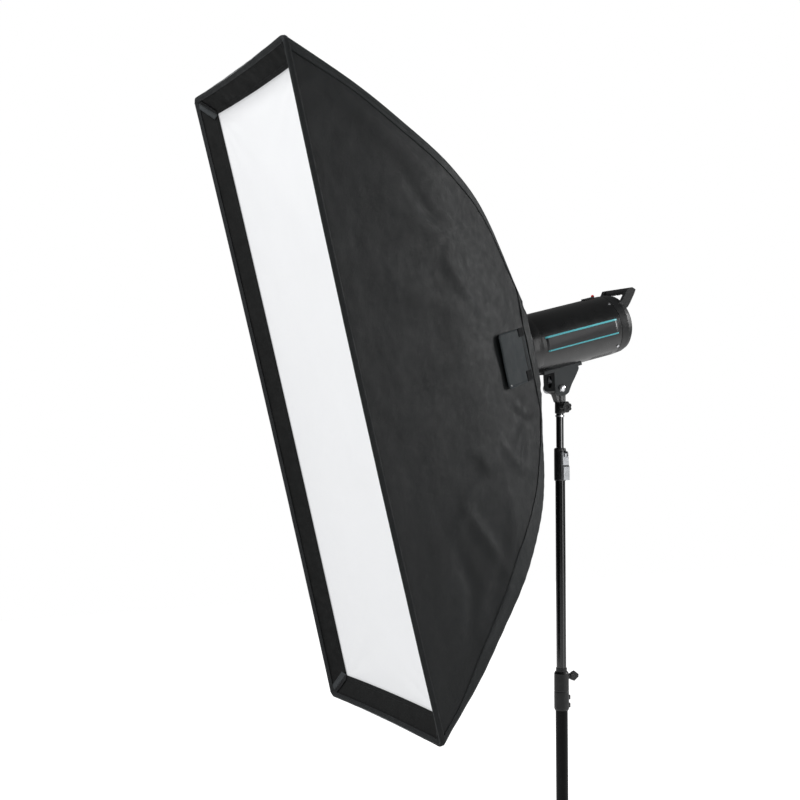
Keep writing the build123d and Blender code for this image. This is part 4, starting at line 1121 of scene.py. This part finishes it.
# ------------------------------------------------------------------
# access flaps
# ------------------------------------------------------------------
FLAP_MIDDLE = (sum(FLAP_S) / 2, sum(FLAP_V) / 2)
FLAP_HALF = ((FLAP_S[1] - FLAP_S[0]) / 2, (FLAP_V[1] - FLAP_V[0]) / 2)


def rounded_patch(half_x, half_y, radius, rows, cols):
    """A grid over a rectangle with rounded corners."""
    x, y = np.meshgrid(
        np.linspace(-1, 1, rows) * half_x, np.linspace(-1, 1, cols) * half_y, indexing="ij")
    flat_x, flat_y = half_x - radius, half_y - radius
    # pull the corner points in on to the arc
    dx, dy = np.abs(x) - flat_x, np.abs(y) - flat_y
    in_corner = (dx > 0) & (dy > 0)
    length = np.maximum(np.hypot(dx, dy), 1e-9)
    k = np.minimum(1.0, np.maximum(dx, dy) / length)
    new_x = np.where(in_corner, flat_x + dx * k, np.abs(x))
    new_y = np.where(in_corner, flat_y + dy * k, np.abs(y))
    return np.sign(x) * new_x, np.sign(y) * new_y


def build_flap_cloth(side, tag, body):
    rows, cols = 26, 30
    x, y = rounded_patch(*FLAP_HALF, radius=7.0, rows=rows, cols=cols)
    s, v = FLAP_MIDDLE[0] + x, FLAP_MIDDLE[1] + y
    front = smooth_step((FLAP_S[0] + 26) - s, 0, 26)  # the front edge stands off
    lift = (
        3.0 + 1.8 * front * (0.75 + 0.25 * np.sin(v / 21.0))
        + 0.5 * np.sin(v / 13.0) * smooth_step(FLAP_S[1] - s, 0, 40)
    )
    points = world(np.stack([side * (straight_half_u(s) + lift), s, v], -1))
    uv = np.stack([(s - FLAP_S[0]) / 1000, (v - FLAP_V[0]) / 1000], -1)
    obj = grid_mesh(f"flap_{tag}_cloth", points, uv, flip=side > 0)
    finish_sheet(obj, ["flap"], 0.0011, 0.0, body=body, slot="flap_slate", replaces=body)
    # stitches one grid step in from the edge
    border = [(i, 1) for i in range(1, rows - 1)]
    border += [(rows - 2, j) for j in range(2, cols - 1)]
    border += [(i, cols - 2) for i in range(rows - 3, 0, -1)]
    border += [(1, j) for j in range(cols - 3, 1, -1)]
    line = np.array([points[i, j] for i, j in border + border[:1]])
    normals = np.repeat((side * ACROSS + BACK * 0.45)[None], len(line), 0)
    normals /= np.linalg.norm(normals[0])
    stitch_line(line, normals, lift=0.0008, body=body)


def build_flap_hooks(side, tag, body):
    """Hook-and-loop squares at the flap's rear corners."""
    for j, (middle_v, half_v) in enumerate(((FLAP_V[1] - 9, 8.5), (FLAP_V[0] + 11, 10.5))):
        x, y = np.meshgrid(
            np.linspace(-11, 11, 9), np.linspace(-half_v, half_v, 7), indexing="ij")
        s = FLAP_S[1] - 11.5 + x
        grid = np.stack([side * (straight_half_u(s) + 4.2), s, middle_v + y], -1)
        loft_strip(
            f"flap_{tag}_hook_{j}", grid, "hook", 0.0011, offset=0.0, body=body,
            slot="flap_slate")


def build_flap_snap(side, tag, body):
    """A bright turned snap at the flap's lower front corner."""
    # along the axis, radius
    profile = [(-2.0, 1.5), (-0.4, 1.9), (0.5, 1.8), (1.0, 1.2), (1.2, 0.4)]
    count = 28
    s = FLAP_S[0] + 9
    origin = world((side * (straight_half_u(s) + 5.6), s, FLAP_V[0] + 6))
    axis = side * ACROSS + BACK * 0.42
    axis /= np.linalg.norm(axis)
    first = np.cross(axis, (0.0, 0.0, 1.0))
    first /= np.linalg.norm(first)
    second = np.cross(axis, first)
    verts = [
        origin + axis * along / 1000
        + (first * math.cos(angle) + second * math.sin(angle)) * radius / 1000
        for along, radius in profile
        for angle in np.linspace(0, 2 * np.pi, count, endpoint=False)
    ]
    faces = grid_faces(len(profile), count, wrap=True, flip=False)
    faces.append(tuple(range(count))[::-1])
    faces.append(tuple((len(profile) - 1) * count + j for j in range(count)))
    obj = make_mesh(f"flap_{tag}_snap", verts, faces)
    obj.data.materials.append(MATS["bright_steel"])
    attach(obj, body)


def build_opening_binding(side, tag):
    """Binding round the opening under the flap."""
    corners = np.array([(-1, -1), (1, -1), (1, 1), (-1, 1), (-1, -1)], float)
    steps = np.linspace(0, 1, 14, endpoint=False)
    loop = np.array([a + (b - a) * t for a, b in zip(corners, corners[1:]) for t in steps])
    rows = []
    # from the opening's edge, lift off the skin
    for offset, lift in ((-2.5, 0.2), (1.5, 0.9), (6.0, 0.9)):
        s = FLAP_MIDDLE[0] + loop[:, 0] * (FLAP_HALF[0] - 12 + offset)
        v = FLAP_MIDDLE[1] + loop[:, 1] * (FLAP_HALF[1] - 12 + offset)
        pull = np.interp(s, [0, 400, 440, S_END], [5, 0, -3, -1])
        u = HALF_U(s) - pull * (1 - (v / HALF_V(s)) ** 2)
        rows.append(np.stack([side * (u + lift), s, v], -1))
    loft_strip(
        f"opening_binding_{tag}", np.array(rows), "binding", 0.0008, offset=0.0, wrap=True)


def build_flap(side, tag):
    body = f"access_flap_{tag}"
    build_flap_cloth(side, tag, body)
    build_flap_hooks(side, tag, body)
    build_flap_snap(side, tag, body)
    build_opening_binding(side, tag)


# ------------------------------------------------------------------
# bands and stripes on the flash head's barrel
# ------------------------------------------------------------------
BAND_END_S = 706
BAND_LEFT_SHIFT = 34  # keeps the left bands clear of the release latch
# name, front s, lower v, upper v, material, lift off the barrel, columns
BANDS = [
    ("side_band", 521, -17.5, 12.0, "band", 0.35, 14),
    ("upper_stripe", 519, 9.8, 13.6, "cyan", 0.55, 4),
    ("lower_stripe", 522, -18.9, -15.9, "cyan", 0.55, 4),
]


def build_bands():
    for tag, middle, side, shift in (("right", 0.0, 1, 0), ("left", 180.0, -1, BAND_LEFT_SHIFT)):
        for name, front_s, low, high, material, lift, columns in BANDS:
            radius = BARREL_RADIUS + lift
            ends = [
                middle + side * math.degrees(math.asin(v / BARREL_RADIUS)) for v in (low, high)]
            s, angle = np.meshgrid(
                np.linspace(front_s + shift, BAND_END_S, 30),
                np.radians(np.linspace(*ends, columns)), indexing="ij")
            points = world(np.stack([radius * np.cos(angle), s, radius * np.sin(angle)], -1))
            uv = np.stack([s / 1000, angle * radius / 1000], -1)
            obj = grid_mesh(f"{name}_{tag}", points, uv)
            finish_sheet(obj, [material], 0.0005, 0.0, body="head", slot="head_black")


# ------------------------------------------------------------------
# floor, lights, world and camera
# ------------------------------------------------------------------
def build_floor():
    bpy.ops.mesh.primitive_plane_add(size=14, location=(0, 0, -0.0005))
    floor = bpy.context.active_object
    floor.name = "floor"
    m = Mat("pale_floor", (0.86, 0.86, 0.86), rough=0.6)
    fac = m.noise(scale=3.0, detail=2.0)
    m.to("Base Color", m.ramp(fac, low=(0.84, 0.84, 0.84), high=(0.88, 0.88, 0.88)))
    # it glows more away from the stand, to the camera and, less, in reflections
    distance = m.nodes.new("ShaderNodeVectorMath")
    distance.operation = "LENGTH"
    m.links.new(m.coords(), distance.inputs[0])
    glow = m.span(distance.outputs["Value"], to=(0.12, 1.0), over=(0.55, 1.5))
    m.set(Emission_Color=(1, 1, 1, 1))
    path = m.nodes.new("ShaderNodeLightPath")
    reflected = m.product(path.outputs["Is Glossy Ray"], 0.6)
    seen = m.calc("MAXIMUM", path.outputs["Is Camera Ray"], reflected)
    m.to("Emission Strength", m.product(glow, seen))
    floor.data.materials.append(m.material)


def area_light(name, location, target, width, height, power, only=None):
    """An area light aimed at a point; only is (collection name, nodes it lights)."""
    data = bpy.data.lights.new(name, "AREA")
    data.energy = power
    data.shape = "RECTANGLE"
    data.size = width
    data.size_y = height
    obj = bpy.data.objects.new(name, data)
    bpy.context.scene.collection.objects.link(obj)
    obj.location = location
    aim = Vector(target) - Vector(location)
    obj.rotation_euler = aim.to_track_quat("-Z", "Y").to_euler()
    obj.visible_camera = False
    if only:
        receivers = bpy.data.collections.new(only[0])
        for node in only[1]:
            receivers.objects.link(NODES[node])
        obj.light_linking.receiver_collection = receivers


def build_lights():
    area_light("key_front", (0.6, -4.2, 2.6), target=(0, -0.15, 1.45),
               width=2.6, height=2.6, power=42)
    area_light("key_graze", (0.85, -2.7, 4.1), target=(0.2, -0.3, 1.4),
               width=0.8, height=0.8, power=85)
    area_light("strip_right", (3.4, 1.7, 1.9), target=(0, 0, 1.3),
               width=1.2, height=2.6, power=22)
    area_light("rear_strip", (0.95, 3.1, 2.5), target=(0.2, -0.2, 1.45),
               width=0.7, height=1.6, power=52)
    # two strips in one place that light only the stand's tubes
    stand_strip = {"location": (2.15, 0.85, 1.0), "target": (0, 0, 1.0), "height": 3.0}
    area_light("stand_strip", width=1.5, power=75, **stand_strip,
               only=("stand_receivers", ("top_tube", "upper_lock_collar", "swivel_socket")))
    area_light("stand_strip_low", width=0.5, power=7, **stand_strip,
               only=("stand_receivers_low", ("middle_tube",)))


def build_world():
    """White to the camera, dim as a light."""
    studio = bpy.data.worlds.new("studio")
    bpy.context.scene.world = studio
    studio.use_nodes = True
    tree = studio.node_tree
    background = tree.nodes["Background"]
    background.inputs["Color"].default_value = (1, 1, 1, 1)
    path = tree.nodes.new("ShaderNodeLightPath")
    strength = tree.nodes.new("ShaderNodeMix")
    strength.data_type = "FLOAT"
    strength.inputs[2].default_value = 0.13  # as a light
    strength.inputs[3].default_value = 1.0  # seen by the camera
    tree.links.new(path.outputs["Is Camera Ray"], strength.inputs[0])
    tree.links.new(strength.outputs[0], background.inputs["Strength"])
    bpy.context.scene.view_settings.view_transform = "Standard"


def build_camera():
    azimuth, elevation, roll = (math.radians(angle) for angle in (63.324, -0.792, -0.275))
    data = bpy.data.cameras.new("camera")
    camera = bpy.data.objects.new("camera", data)
    bpy.context.scene.collection.objects.link(camera)
    data.sensor_width = 36.0
    data.lens = 57.7467
    backward = Vector((
        math.sin(azimuth) * math.cos(elevation), -math.cos(azimuth) * math.cos(elevation),
        math.sin(elevation),
    ))
    level = (-backward).cross(Vector((0, 0, 1))).normalized()
    upright = level.cross(-backward).normalized()
    right = level * math.cos(roll) + upright * math.sin(roll)
    up = -level * math.sin(roll) + upright * math.cos(roll)
    place = TILT_PIVOT + Vector((2.3125, -1.5373, -0.0613))
    camera.matrix_world = Matrix((
        (right.x, up.x, backward.x, place.x),
        (right.y, up.y, backward.y, place.y),
        (right.z, up.z, backward.z, place.z),
        (0, 0, 0, 1),
    ))
    bpy.context.scene.camera = camera


paint_nodes()
repaint_parts()
build_shell()
build_sleeves()
build_edge_binding()
build_lip()
build_lip_tape()
build_sheets()
build_baffle_straps()
build_neck()
for (corner_u, corner_v), corner_tag in zip(CORNERS, ("ur", "ul", "ll", "lr")):
    build_corner_strap(corner_u, corner_v, corner_tag)
build_flap(1, "right")
build_flap(-1, "left")
build_bands()
build_stitches()
build_floor()
build_lights()
build_world()
build_camera()
